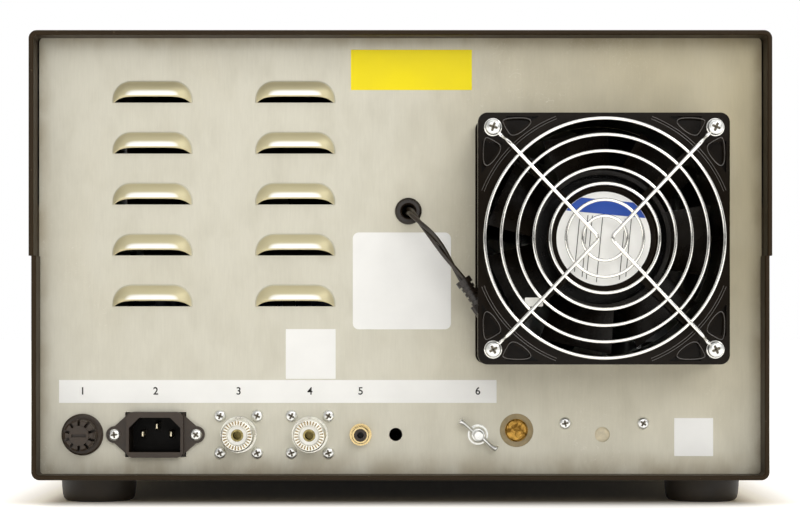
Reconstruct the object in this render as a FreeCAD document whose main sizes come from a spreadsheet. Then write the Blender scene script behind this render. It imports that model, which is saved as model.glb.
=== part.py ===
import FreeCAD, Part
import math
import os

import Sketcher
from FreeCAD import Placement, Rotation, Vector

# A desktop linear amplifier for short-wave radio, in millimetres.
# X runs to the right as the rear panel is seen, Y from the rear panel to the front panel, Z up.
# The origin is under the middle of the box that holds the whole object, on the table top.
SIZES = {
    # case
    "case_width": 360.0,
    "case_height": 218.0,
    "case_depth": 360.0,
    "cover_gauge": 1.2,
    "case_corner": 4.0,
    "hem_depth": 12.0,
    "seam_rise": 108.8,
    "tongue_rise": 25.0,
    "sheet_gap": 0.1,
    "panel_gap": 0.2,
    "rear_recess": 15.0,
    "front_recess": 15.0,
    "rear_gauge": 1.5,
    "front_gauge": 3.0,
    "tray_gauge": 2.0,
    "tray_rise": 130.0,
    "tray_lip": 5.0,
    "tray_side_lip": 8.0,
    # feet and case screws
    "foot_height": 12.5,
    "foot_top_radius": 18.5,
    "foot_end_radius": 16.5,
    "foot_edge": 3.0,
    "foot_across": 151.5,
    "foot_inset": 40.0,
    "foot_recess_radius": 6.0,
    "foot_recess_depth": 5.0,
    "foot_screw_radius": 1.95,
    "foot_screw_head": 4.5,
    "case_screw_radius": 1.95,
    "case_screw_head": 3.75,
    "case_screw_proud": 1.1,
    "case_screw_inset": 24.0,
    "case_screw_spread": 12.4,
    "hole_gap": 0.1,
    # louvres
    "louvre_width": 39.4,
    "louvre_height": 10.8,
    "louvre_corner": 9.2,
    "louvre_reach": 4.1,
    "louvre_lip": 2.2,
    "louvre_end": 6.3,
    "louvre_crown": 3.4,
    "louvre_pitch": 25.0,
    "louvre_column_pitch": 70.1,
    "louvre_first_x": -121.7,
    "louvre_first_z": 96.9,
    # fan
    "fan_x": 96.1,
    "fan_z": 128.5,
    "fan_side": 119.0,
    "fan_depth": 38.0,
    "fan_corner": 4.5,
    "fan_flange": 5.0,
    "fan_duct_radius": 56.5,
    "fan_wall": 1.7,
    "fan_hole_pitch": 104.8,
    "fan_screw_radius": 1.95,
    "fan_screw_head": 3.8,
    "fan_screw_head_height": 2.6,
    "fan_hub_radius": 26.5,
    "fan_strut": 4.0,
    "fan_strut_depth": 7.0,
    "fan_core_radius": 22.0,
    "rotor_radius": 33.0,
    "rotor_wall": 2.0,
    "rotor_back_gap": 3.0,
    "rotor_depth": 25.0,
    "fan_shaft_radius": 3.0,
    "shaft_gap": 0.05,
    "blade_tip_gap": 1.4,
    "blade_gauge": 1.6,
    "blade_root_chord": 26.0,
    "blade_tip_chord": 34.0,
    "blade_root_rise": 20.0,
    "blade_tip_rise": 16.0,
    # finger guard
    "guard_reach": 7.0,
    "guard_first_ring": 10.5,
    "guard_ring_pitch": 7.65,
    "guard_ring_wire": 1.6,
    "guard_spoke_wire": 1.9,
    "guard_apex_offset": 2.5,
    "guard_kink_radius": 64.0,
    "guard_kink_run": 3.5,
    # fan lead
    "grommet_x": 3.9,
    "grommet_z": 143.6,
    "grommet_radius": 6.55,
    "grommet_waist": 5.0,
    "grommet_bore": 3.25,
    "grommet_proud": 2.0,
    "lead_radius": 2.1,
    "lead_stand_off": 18.5,
    "plug_x": 29.9,
    "plug_z": 109.6,
    "plug_turn": 145.5,
    "collar_radius": 3.9,
    "collar_length": 3.0,
    "relief_radius": 3.3,
    "relief_length": 11.0,
    "plug_width": 9.0,
    "plug_depth": 8.0,
    "plug_length": 14.0,
    # fuse holder
    "connector_z": 34.0,
    "fuse_x": -156.0,
    "fuse_flange_radius": 10.2,
    "fuse_flange_height": 2.2,
    "fuse_body_radius": 6.9,
    "fuse_body_depth": 30.0,
    "fuse_bore_radius": 5.7,
    "fuse_cap_radius": 7.7,
    "fuse_cap_height": 10.3,
    "fuse_cap_hub": 4.8,
    "fuse_shank_radius": 5.4,
    "fuse_shank_length": 6.0,
    "fuse_link_radius": 3.15,
    "fuse_link_length": 26.0,
    "fuse_nut_radius": 9.3,
    "nut_height": 3.2,
    # mains inlet
    "inlet_x": -120.1,
    "inlet_screw_pitch": 40.0,
    "inlet_flange": 2.0,
    "inlet_tip_radius": 4.15,
    "collar_width": 27.9,
    "collar_height": 22.3,
    "collar_corner": 3.5,
    "collar_reach": 5.0,
    "inlet_mouth_width": 25.2,
    "inlet_mouth_height": 16.9,
    "inlet_mouth_chamfer": 5.0,
    "inlet_mouth_depth": 17.0,
    "inlet_body_width": 28.8,
    "inlet_body_height": 21.0,
    "inlet_body_depth": 20.0,
    "inlet_cut_width": 30.0,
    "inlet_cut_height": 22.0,
    "inlet_pin_pitch": 14.0,
    "inlet_pin_rise": 3.9,
    "inlet_pin_width": 2.0,
    "inlet_pin_height": 4.0,
    "inlet_pin_length": 11.0,
    "inlet_tab_length": 8.0,
    # radio-frequency sockets
    "input_x": -79.4,
    "output_x": -44.4,
    "socket_screw_pitch": 18.2,
    "socket_flange": 25.4,
    "socket_flange_gauge": 1.6,
    "socket_shoulder_radius": 8.9,
    "socket_shoulder_height": 1.0,
    "socket_thread_radius": 7.94,
    "socket_reach": 11.5,
    "socket_nose_radius": 7.5,
    "socket_nose_length": 0.9,
    "socket_bore_radius": 5.05,
    "socket_back_radius": 6.5,
    "socket_back_length": 8.0,
    "insulator_recess": 1.6,
    "contact_radius": 3.0,
    "contact_bore": 2.1,
    "contact_bore_depth": 10.0,
    "contact_tail_radius": 1.2,
    "contact_tail_length": 7.0,
    # small rear fittings
    "phono_x": -19.5,
    "phono_radius": 4.2,
    "phono_flange_radius": 5.4,
    "phono_flange_height": 1.4,
    "phono_reach": 8.0,
    "phono_stem_radius": 3.7,
    "phono_bore_radius": 3.15,
    "phono_pin_radius": 1.6,
    "spare_x": -2.3,
    "spare_radius": 3.25,
    "earth_x": 38.0,
    "earth_stud_radius": 2.5,
    "earth_stud_reach": 14.0,
    "earth_washer_radius": 5.0,
    "earth_washer_gauge": 1.0,
    "wing_hub_radius": 4.2,
    "wing_hub_height": 5.5,
    "wing_span": 23.4,
    "wing_gauge": 2.0,
    "wing_top": 10.5,
    "wing_turn": -36.0,
    "access_x": 57.0,
    "access_z": 36.0,
    "access_radius": 8.25,
    "bush_hole_radius": 6.25,
    "bush_radius": 5.15,
    "bush_collar_radius": 8.0,
    "bush_collar_gauge": 2.0,
    "blank_x": 99.1,
    "blank_radius": 3.7,
    "bracket_left_screw_x": 80.8,
    "bracket_right_screw_x": 119.1,
    "bracket_screw_z": 39.5,
    "bracket_gauge": 1.5,
    "bracket_left": 46.0,
    "bracket_right": 128.0,
    "bracket_low": 25.5,
    "bracket_high": 47.0,
    "bracket_depth": 22.0,
    "small_screw_radius": 1.45,
    "small_screw_head": 2.95,
    "small_screw_head_height": 1.9,
    "small_nut_radius": 3.1,
    "small_nut_height": 2.3,
    # power supply
    "transformer_x": -93.0,
    "transformer_front_gap": 35.5,
    "transformer_radius": 74.0,
    "transformer_height": 66.0,
    "transformer_hole": 26.0,
    "transformer_edge": 9.0,
    "transformer_bolt_radius": 4.0,
    "transformer_bolt_head": 7.5,
    "clamp_radius": 36.0,
    "clamp_gauge": 2.5,
    "board_left": -160.0,
    "board_gap": 4.0,
    "board_width": 158.0,
    "board_gauge": 1.6,
    "board_lift": 9.0,
    "board_post_radius": 3.0,
    "capacitor_radius": 17.5,
    "capacitor_height": 82.0,
    "capacitor_pitch_x": 44.0,
    "capacitor_pitch_y": 42.0,
    "capacitor_side": 34.0,
    "capacitor_edge": 22.0,
    # radio-frequency deck
    "deck_left": 30.0,
    "deck_right_gap": 2.0,
    "deck_height": 46.0,
    "deck_gauge": 2.0,
    "deck_rear_gap": 8.0,
    "deck_front_gap": 9.0,
    "relay_x": -62.0,
    "relay_width": 30.0,
    "relay_depth": 26.0,
    "relay_height": 34.0,
    "relay_rear_gap": 22.0,
    "valve_rear_gap": 58.0,
    "valve_middle_x": 98.0,
    "valve_pitch": 62.0,
    "valve_radius": 26.0,
    "valve_height": 92.0,
    "valve_base_radius": 20.0,
    "valve_base_height": 18.0,
    "valve_socket_radius": 24.0,
    "valve_socket_depth": 14.0,
    "valve_socket_lip": 3.0,
    "valve_seat_gap": 0.3,
    "valve_cap_radius": 4.5,
    "valve_cap_height": 9.0,
    "anode_clip_radius": 8.5,
    "anode_clip_height": 14.0,
    "coil_x": 98.0,
    "coil_valve_gap": 30.0,
    "coil_radius": 31.0,
    "coil_turns": 5.0,
    "coil_pitch": 12.0,
    "coil_wire": 5.0,
    "coil_core_radius": 26.5,
    "coil_core_wall": 3.0,
    "coil_lift": 12.0,
    # variable capacitors and switches
    "tune_x": 137.0,
    "load_x": 62.0,
    "capacitor_axis_z": 107.0,
    "vane_radius": 26.0,
    "vane_gauge": 1.0,
    "vane_pitch": 7.0,
    "vane_first": 8.0,
    "tune_vanes": 4.0,
    "load_vanes": 5.0,
    "vane_end_gauge": 2.5,
    "vane_frame_width": 62.0,
    "vane_stator_depth": 27.0,
    "vane_hub_radius": 6.0,
    "vane_frame_front_gap": 14.0,
    "shaft_radius": 3.0,
    "panel_shaft_gap": 0.4,
    "band_x": 100.0,
    "band_z": 187.0,
    "band_radius": 24.0,
    "band_wafer_gauge": 2.5,
    "band_wafer_pitch": 16.0,
    "band_plate_side": 46.0,
    "meter_switch_x": -50.0,
    "meter_switch_z": 78.0,
    "meter_switch_radius": 14.0,
    "meter_switch_depth": 20.0,
    # front panel fittings
    "knob_reach": 29.5,
    "knob_gap": 0.5,
    "large_knob_radius": 22.0,
    "small_knob_radius": 15.0,
    "knob_skirt_height": 5.0,
    "knob_taper": 2.0,
    "knob_edge": 1.5,
    "knob_flutes": 16.0,
    "knob_flute_radius": 3.0,
    "knob_bore_depth": 18.0,
    "meter_left_x": -125.0,
    "meter_right_x": -50.0,
    "meter_z": 172.0,
    "meter_width": 66.0,
    "meter_height": 54.0,
    "meter_proud": 10.0,
    "meter_wall": 4.0,
    "meter_floor": 2.0,
    "meter_body_radius": 22.0,
    "meter_body_depth": 26.0,
    "window_gauge": 1.6,
    "needle_length": 32.0,
    "needle_width": 1.2,
    "needle_gauge": 0.8,
    "needle_hub": 3.0,
    "needle_pivot_drop": 14.0,
    "needle_swing": 45.0,
    "power_x": -148.0,
    "operate_x": -108.0,
    "rocker_z": 62.0,
    "rocker_width": 18.0,
    "rocker_height": 28.0,
    "rocker_gap": 0.3,
    "rocker_end_gap": 1.0,
    "rocker_proud": 5.5,
    "rocker_dish": 2.0,
    "rocker_skirt": 2.5,
    "rocker_tilt": 8.0,
    "rocker_pin_radius": 1.5,
    "rocker_pin_length": 1.2,
    "switch_wall": 2.0,
    "switch_depth": 22.0,
    "switch_cavity": 10.0,
    "switch_rim": 2.5,
    "switch_rim_gauge": 2.0,
    "lamp_x": -20.0,
    "lamp_z": 62.0,
    "lamp_pitch": 15.0,
    "lamp_radius": 3.0,
    "lamp_rim": 4.2,
    "lamp_depth": 14.0,
    "lamp_proud": 3.0,
}

doc = FreeCAD.newDocument("LinearAmplifier")
sheet = doc.addObject("Spreadsheet::Sheet", "Sizes")
for line, (word, number) in enumerate(SIZES.items(), 1):
    sheet.set("A%d" % line, word)
    sheet.set("B%d" % line, str(number))
    sheet.setAlias("B%d" % line, word)
doc.recompute()


class Size:
    """A length or angle with the formula that gives it in the sheet's own words."""

    def __init__(self, number, formula):
        self.number = number
        self.formula = formula

    def __float__(self):
        return self.number

    def __add__(self, other):
        return Size(self.number + float(other), "(%s + %s)" % (self.formula, formula(other)))

    def __radd__(self, other):
        return Size(float(other) + self.number, "(%s + %s)" % (formula(other), self.formula))

    def __sub__(self, other):
        return Size(self.number - float(other), "(%s - %s)" % (self.formula, formula(other)))

    def __rsub__(self, other):
        return Size(float(other) - self.number, "(%s - %s)" % (formula(other), self.formula))

    def __mul__(self, other):
        return Size(self.number * float(other), "%s * %s" % (self.formula, formula(other)))

    def __rmul__(self, other):
        return self * other

    def __truediv__(self, other):
        return Size(self.number / float(other), "%s / %s" % (self.formula, formula(other)))

    def __neg__(self):
        return Size(-self.number, "(0 - %s)" % self.formula)


def formula(amount):
    return amount.formula if isinstance(amount, Size) else repr(float(amount))


def sine(angle):
    return Size(math.sin(math.radians(float(angle))), "sin(%s)" % formula(angle))


def cosine(angle):
    return Size(math.cos(math.radians(float(angle))), "cos(%s)" % formula(angle))


class Names:
    """The sheet's cells, each under its alias."""


s = Names()
for word in SIZES:
    setattr(s, word, Size(float(sheet.get(word)), "Sizes." + word))

# Places worked out from the sizes.
half_width = s.case_width / 2
case_floor = s.foot_height
case_top = s.foot_height + s.case_height
seam_z = case_floor + s.seam_rise
rear_reach = s.fan_depth + s.guard_reach - s.rear_recess
front_reach = s.knob_gap + s.knob_reach - s.front_recess
rear_rim = (rear_reach - front_reach - s.case_depth) / 2
front_rim = rear_rim + s.case_depth
rear_face = rear_rim + s.rear_recess
rear_inside = rear_face + s.rear_gauge
front_face = front_rim - s.front_recess
front_inside = front_face - s.front_gauge
lower_half = half_width - s.cover_gauge - s.sheet_gap
tray_half = lower_half - s.cover_gauge - s.panel_gap
tray_bottom = case_floor + s.cover_gauge
tray_floor = tray_bottom + s.tray_gauge
deck_top = tray_floor + s.deck_height

case_screw_rows = (rear_rim + s.case_screw_inset, front_rim - s.case_screw_inset)
upper_screw_z = seam_z + s.case_screw_spread
lower_screw_z = seam_z - s.case_screw_spread
case_hole = s.case_screw_radius + s.hole_gap
rim_round = s.cover_gauge * 0.85
foot_places = [(x, y) for x in (-s.foot_across, s.foot_across)
               for y in (rear_rim + s.foot_inset, front_rim - s.foot_inset)]
fan_holes = [(s.fan_x + x * s.fan_hole_pitch / 2, s.fan_z + z * s.fan_hole_pitch / 2)
             for x in (-1, 1) for z in (-1, 1)]
socket_holes = [(middle + x * s.socket_screw_pitch / 2, s.connector_z + z * s.socket_screw_pitch / 2)
                for middle in (s.input_x, s.output_x) for x in (-1, 1) for z in (-1, 1)]
inlet_holes = [(s.inlet_x + x * s.inlet_screw_pitch / 2, s.connector_z) for x in (-1, 1)]
inlet_pin_places = [(-s.inlet_pin_pitch / 2, 0), (s.inlet_pin_pitch / 2, 0), (0, s.inlet_pin_rise)]
bracket_holes = [(s.bracket_left_screw_x, s.bracket_screw_z), (s.bracket_right_screw_x, s.bracket_screw_z)]
deck_rear = rear_inside + s.deck_rear_gap
valve_y = deck_rear + s.valve_rear_gap
valve_places = [(s.valve_middle_x + side * s.valve_pitch / 2, valve_y) for side in (-1, 1)]
relay_rear = rear_inside + s.relay_rear_gap
transformer_y = front_inside - s.transformer_front_gap - s.transformer_radius
board_rear = relay_rear + s.relay_depth + s.board_gap
board_front = transformer_y - s.transformer_radius - s.board_gap
lamp_places = [s.lamp_x + s.lamp_pitch * number for number in range(3)]
switch_width = s.rocker_width + 2 * (s.rocker_gap + s.switch_wall)
switch_height = s.rocker_height + 2 * (s.rocker_end_gap + s.switch_wall)

OUT_OF_REAR = Rotation(Vector(1, 0, 0), 90)
OUT_OF_FRONT = Rotation(Vector(1, 0, 0), -90)
UPRIGHT = Rotation()
UPSIDE_DOWN = Rotation(Vector(1, 0, 0), 180)
plug_direction = Rotation(Vector(0, 1, 0), float(s.plug_turn))

sub_parts = []


def point(x, y, z=0):
    return Vector(float(x), float(y), float(z))


def place(thing, x, y, z, rotation=UPRIGHT):
    """Put a sub-part at a place bound to the sheet."""
    thing.Placement = Placement(point(x, y, z), rotation)
    for axis, amount in (("x", x), ("y", y), ("z", z)):
        thing.setExpression("Placement.Base." + axis, formula(amount))
    return thing


def keep(thing):
    """List a finished sub-part for export."""
    sub_parts.append(thing)
    return thing


def new_body(label):
    body = doc.addObject("PartDesign::Body", label)
    body.Label = label
    return body


def plane_of(body, role):
    return [item for item in body.Origin.OriginFeatures if item.Role == role][0]


def rounded(outline):
    """Swap each corner (x, y, radius) between level and upright edges for two points and an arc."""
    spots = []
    arcs = []
    count = len(outline)
    for index, corner in enumerate(outline):
        if len(corner) == 2:
            spots.append(corner)
            continue
        x, y, radius = corner
        ends = []
        for other in (outline[index - 1], outline[(index + 1) % count]):
            across = float(other[0]) - float(x)
            along = float(other[1]) - float(y)
            if abs(across) > abs(along):
                ends.append((x + radius if across > 0 else x - radius, y))
            else:
                ends.append((x, y + radius if along > 0 else y - radius))
        arcs.append((len(spots), radius, corner))
        spots.extend(ends)
    return spots, arcs


def tie(sketch, kind, geometry, vertex, amount):
    """Hold one sketch dimension to its formula."""
    if vertex is None:
        rule = Sketcher.Constraint(kind, geometry, float(amount))
    else:
        rule = Sketcher.Constraint(kind, -1, 1, geometry, vertex, float(amount))
    number = sketch.addConstraint(rule)
    sketch.setExpression("Constraints[%d]" % number, formula(amount))


def draw_loop(sketch, outline):
    """Draw a closed loop of straight edges and quarter-round corners."""
    spots, arcs = rounded(outline)
    arc_at = {start: (radius, corner) for start, radius, corner in arcs}
    first = sketch.GeometryCount
    count = len(spots)
    for index, spot in enumerate(spots):
        start = point(*spot)
        end = point(*spots[(index + 1) % count])
        if index in arc_at:
            radius, corner = arc_at[index]
            tip = point(corner[0], corner[1])
            centre = start + end - tip
            middle = centre + (tip - centre).normalize() * float(radius)
            sketch.addGeometry(Part.Arc(start, middle, end), False)
        else:
            sketch.addGeometry(Part.LineSegment(start, end), False)
    # An arc is always kept anticlockwise, so a clockwise corner has its ends the other way round.
    for index in range(count):
        following = (index + 1) % count
        here = nearest_end(sketch, first + index, spots[following])
        there = nearest_end(sketch, first + following, spots[following])
        sketch.addConstraint(Sketcher.Constraint("Coincident", first + index, here, first + following, there))
    for index, (x, y) in enumerate(spots):
        vertex = nearest_end(sketch, first + index, spots[index])
        tie(sketch, "DistanceX", first + index, vertex, x)
        tie(sketch, "DistanceY", first + index, vertex, y)
        if index in arc_at:
            tie(sketch, "Radius", first + index, None, arc_at[index][0])


def nearest_end(sketch, geometry, spot):
    target = point(*spot)
    start = sketch.getPoint(geometry, 1)
    end = sketch.getPoint(geometry, 2)
    return 1 if start.distanceToPoint(target) <= end.distanceToPoint(target) else 2


def draw_circle(sketch, x, y, radius):
    number = sketch.addGeometry(Part.Circle(point(x, y), Vector(0, 0, 1), float(radius)), False)
    tie(sketch, "DistanceX", number, 3, x)
    tie(sketch, "DistanceY", number, 3, y)
    tie(sketch, "Radius", number, None, radius)


def new_sketch(body, role, loops=(), circles=(), height=0):
    """Draw on one of the body's own planes, moved along its normal by the height."""
    sketch = body.newObject("Sketcher::SketchObject", body.Label + "_sketch")
    sketch.AttachmentSupport = (plane_of(body, role), [""])
    sketch.MapMode = "FlatFace"
    sketch.AttachmentOffset = Placement(point(0, 0, height), Rotation())
    sketch.setExpression("AttachmentOffset.Base.z", formula(height))
    for outline in loops:
        draw_loop(sketch, outline)
    for x, y, radius in circles:
        draw_circle(sketch, x, y, radius)
    return sketch


def raise_up(body, sketch, length, back=False, both=False):
    """Pad a sketch along its normal, against it, or half each way."""
    pad = body.newObject("PartDesign::Pad", body.Label + "_pad")
    pad.Profile = sketch
    pad.setExpression("Length", formula(length))
    pad.Reversed = back
    if both:
        pad.SideType = "Symmetric"
    return pad


def cut_in(body, sketch, length, up=False, both=False):
    """Pocket a sketch against its normal, along it, or half each way."""
    pocket = body.newObject("PartDesign::Pocket", body.Label + "_pocket")
    pocket.Profile = sketch
    pocket.setExpression("Length", formula(length))
    pocket.Reversed = up
    if both:
        pocket.SideType = "Symmetric"
    return pocket


def spin(body, outline, tool="PartDesign::Revolution"):
    """Turn a profile of (radius, height) points round the body's Z axis."""
    sketch = new_sketch(body, "XZ_Plane", [outline])
    turned = body.newObject(tool, body.Label + "_turned")
    turned.Profile = sketch
    turned.ReferenceAxis = (sketch, ["V_Axis"])
    turned.Angle = 360
    return turned


def spin_away(body, outline):
    return spin(body, outline, "PartDesign::Groove")


def repeat_round(body, features, count, angle=360):
    """Repeat features round the body's Z axis."""
    pattern = body.newObject("PartDesign::PolarPattern", body.Label + "_round")
    pattern.Originals = features
    pattern.Axis = (plane_of(body, "Z_Axis"), [""])
    pattern.Angle = angle
    pattern.setExpression("Occurrences", formula(count))
    body.Tip = pattern
    return pattern


def rectangle(width, height, x=0, y=0, corner=None):
    """The four corners of a rectangle about a centre."""
    corners = [
        (x - width / 2, y - height / 2),
        (x + width / 2, y - height / 2),
        (x + width / 2, y + height / 2),
        (x - width / 2, y + height / 2),
    ]
    return corners if corner is None else [spot + (corner,) for spot in corners]


def block(label, x, y, z, width, depth, height):
    """A box from its lowest corner."""
    solid = doc.addObject("Part::Box", label)
    solid.Label = label
    for name, amount in (("Length", width), ("Width", depth), ("Height", height)):
        solid.setExpression(name, formula(amount))
    return place(solid, x, y, z)


def round_bar(label, x, y, z, radius, length, rotation=UPRIGHT):
    """A cylinder from the middle of its end, along Z unless turned."""
    solid = doc.addObject("Part::Cylinder", label)
    solid.Label = label
    solid.setExpression("Radius", formula(radius))
    solid.setExpression("Height", formula(length))
    return place(solid, x, y, z, rotation)


def group(label, pieces):
    """One node of separate solids."""
    whole = doc.addObject("Part::Compound", label)
    whole.Label = label
    whole.Links = pieces
    return whole


def copies(label, piece, spots, rotation=UPRIGHT):
    """Linked copies of a piece at (x, y, z) places."""
    links = []
    for number, (x, y, z) in enumerate(spots):
        link = doc.addObject("App::Link", "%s_%d" % (label, number))
        link.LinkedObject = piece
        links.append(place(link, x, y, z, rotation))
    return links


def hex_nut(label, radius, height, bore):
    """A six-sided nut from its seat upwards, its radius taken over the corners."""
    body = new_body(label)
    corners = [(radius * cosine(60 * side), radius * sine(60 * side)) for side in range(6)]
    sketch = new_sketch(body, "XY_Plane", [corners], [(0, 0, bore)])
    raise_up(body, sketch, height)
    return body


def pan_screw(label, head_radius, head_height, radius, length):
    """A screw with a domed head above its seat and a plain shank below it."""
    body = new_body(label)
    spin(body, [
        (0, -length),
        (radius, -length),
        (radius, 0),
        (head_radius, 0),
        (head_radius, head_height * 0.5),
        (head_radius * 0.7, head_height * 0.88),
        (0, head_height),
    ])
    return body


def shell_outline(half, bottom, top, gauge, corner, opens_down):
    """A channel of sheet: a flat side and two legs, open below or above."""
    inner = corner - gauge
    flat = top if opens_down else bottom
    ends = bottom if opens_down else top
    inside = flat - gauge if opens_down else flat + gauge
    return [
        (-half, ends),
        (-half, flat, corner),
        (half, flat, corner),
        (half, ends),
        (half - gauge, ends),
        (half - gauge, inside, inner),
        (gauge - half, inside, inner),
        (gauge - half, ends),
    ]


def round_rim(body, feature, rim_y, radius):
    """Round every long edge of a folded rim."""
    doc.recompute()
    names = []
    for number, edge in enumerate(feature.Shape.Edges, 1):
        box = edge.BoundBox
        flat = box.YLength < 0.01 and abs(box.YMin - float(rim_y)) < 0.01
        if flat and edge.Length > float(s.cover_gauge) * 2.5:
            names.append("Edge%d" % number)
        elif flat and edge.Curve.TypeId == "Part::GeomCircle":
            names.append("Edge%d" % number)
    fillet = body.newObject("PartDesign::Fillet", body.Label + "_rim")
    fillet.Base = (feature, names)
    fillet.setExpression("Radius", formula(radius))
    return fillet


def side_holes(body, heights, radius):
    """Clearance holes for the case screws through both sides."""
    circles = [(y, z, radius) for y in case_screw_rows for z in heights]
    sketch = new_sketch(body, "YZ_Plane", circles=circles)
    return cut_in(body, sketch, s.case_width + s.case_corner, both=True)


def cover(label, half, bottom, top, opens_down):
    """One folded half of the case with a doubled hem at its front and rear."""
    body = new_body(label)
    gauge = s.cover_gauge
    outside = shell_outline(half, bottom, top, gauge, s.case_corner, opens_down)
    sheet_sketch = new_sketch(body, "XZ_Plane", [outside], height=-rear_rim)
    raise_up(body, sheet_sketch, s.case_depth, back=True)
    if opens_down:
        layer = shell_outline(half - gauge, bottom, top - gauge, gauge, s.case_corner - gauge, True)
    else:
        layer = shell_outline(half - gauge, bottom + gauge, top, gauge, s.case_corner - gauge, False)
    rear_sketch = new_sketch(body, "XZ_Plane", [layer], height=-rear_rim)
    raise_up(body, rear_sketch, s.hem_depth, back=True)
    front_sketch = new_sketch(body, "XZ_Plane", [layer], height=s.hem_depth - front_rim)
    hem = raise_up(body, front_sketch, s.hem_depth, back=True)
    rounded_rear = round_rim(body, hem, rear_rim, rim_round)
    round_rim(body, rounded_rear, front_rim, rim_round)
    return body


def upper_cover():
    body = cover("upper_cover", half_width, seam_z, case_top, True)
    side_holes(body, [upper_screw_z], case_hole)
    keep(body)


def lower_cover():
    body = cover("lower_cover", lower_half, case_floor, seam_z, False)
    gauge = s.cover_gauge
    length = s.case_depth - 2 * (s.hem_depth + s.panel_gap)
    start = rear_rim + s.hem_depth + s.panel_gap
    for side in (-1, 1):
        strip = [
            (side * lower_half, seam_z),
            (side * (lower_half - gauge), seam_z),
            (side * (lower_half - gauge), seam_z + s.tongue_rise),
            (side * lower_half, seam_z + s.tongue_rise),
        ]
        raise_up(body, new_sketch(body, "XZ_Plane", [strip], height=-start), length, back=True)
    side_holes(body, [upper_screw_z, lower_screw_z], case_hole)
    feet = [(x, y, s.foot_screw_radius + s.hole_gap) for x, y in foot_places]
    cut_in(body, new_sketch(body, "XY_Plane", circles=feet), tray_floor, up=True)
    keep(body)


def rubber_feet():
    """Round tapered feet with a softened lower edge and a recess for the screw head."""
    foot = new_body("foot")
    spin(foot, [
        (s.foot_screw_radius + s.hole_gap, s.foot_recess_depth),
        (s.foot_recess_radius, s.foot_recess_depth),
        (s.foot_recess_radius, 0),
        (s.foot_end_radius - s.foot_edge, 0),
        (s.foot_end_radius - s.foot_edge * 0.3, s.foot_edge * 0.3),
        (s.foot_end_radius, s.foot_edge),
        (s.foot_top_radius, s.foot_height),
        (s.foot_screw_radius + s.hole_gap, s.foot_height),
    ])
    spots = [(x, y, 0) for x, y in foot_places]
    keep(group("rubber_feet", copies("foot_copy", foot, spots)))


def chassis_tray():
    """A folded aluminium tray with lips that carry the front and rear panels."""
    body = new_body("chassis_tray")
    gauge = s.tray_gauge
    top = tray_bottom + s.tray_rise
    corner = s.case_corner - s.cover_gauge + gauge * 0.5
    channel = shell_outline(tray_half, tray_bottom, top, gauge, corner, False)
    length = front_inside - rear_inside
    raise_up(body, new_sketch(body, "XZ_Plane", [channel], height=-rear_inside), length, back=True)
    side = tray_half - gauge
    lip = [
        (-side, tray_floor),
        (side, tray_floor),
        (side, top),
        (side - s.tray_side_lip, top),
        (side - s.tray_side_lip, tray_floor + s.tray_lip),
        (s.tray_side_lip - side, tray_floor + s.tray_lip),
        (s.tray_side_lip - side, top),
        (-side, top),
    ]
    raise_up(body, new_sketch(body, "XZ_Plane", [lip], height=-rear_inside), gauge, back=True)
    raise_up(body, new_sketch(body, "XZ_Plane", [lip], height=gauge - front_inside), gauge, back=True)
    side_holes(body, [upper_screw_z, lower_screw_z], case_hole)
    feet = [(x, y, s.foot_screw_radius + s.hole_gap) for x, y in foot_places]
    feet.append((s.transformer_x, transformer_y, s.transformer_bolt_radius + s.hole_gap))
    cut_in(body, new_sketch(body, "XY_Plane", circles=feet), tray_floor, up=True)
    keep(body)


def case_screws():
    """Domed screws above and below the seam, and one up through each foot, all into the tray."""
    reach = tray_floor + s.tray_gauge - s.foot_recess_depth
    foot_screw = pan_screw("foot_screw", s.foot_screw_head, s.foot_recess_depth * 0.6,
                           s.foot_screw_radius, reach)
    spots = [(x, y, s.foot_recess_depth) for x, y in foot_places]
    links = copies("foot_screw_copy", foot_screw, spots, UPSIDE_DOWN)
    inner = tray_half - s.tray_gauge - 2 * s.tray_gauge
    for name, half, z in (("upper", half_width, upper_screw_z), ("lower", lower_half, lower_screw_z)):
        screw = pan_screw(name + "_case_screw", s.case_screw_head, s.case_screw_proud,
                          s.case_screw_radius, half - inner)
        for side, turn in ((-1, -90), (1, 90)):
            spots = [(side * half, y, z) for y in case_screw_rows]
            facing = Rotation(Vector(0, 1, 0), turn)
            links += copies("%s_screw_%d" % (name, side), screw, spots, facing)
    keep(group("case_screws", links))


def louvre_outline(end_inset, bottom, top_inset, corner):
    """A D on its flat side: level below, rounded at both upper corners."""
    half = s.louvre_width / 2 - end_inset
    top = s.louvre_first_z + s.louvre_height - top_inset
    low = s.louvre_first_z + bottom
    x = s.louvre_first_x
    return [(x - half, low), (x + half, low), (x + half, top, corner), (x - half, top, corner)]


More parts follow.
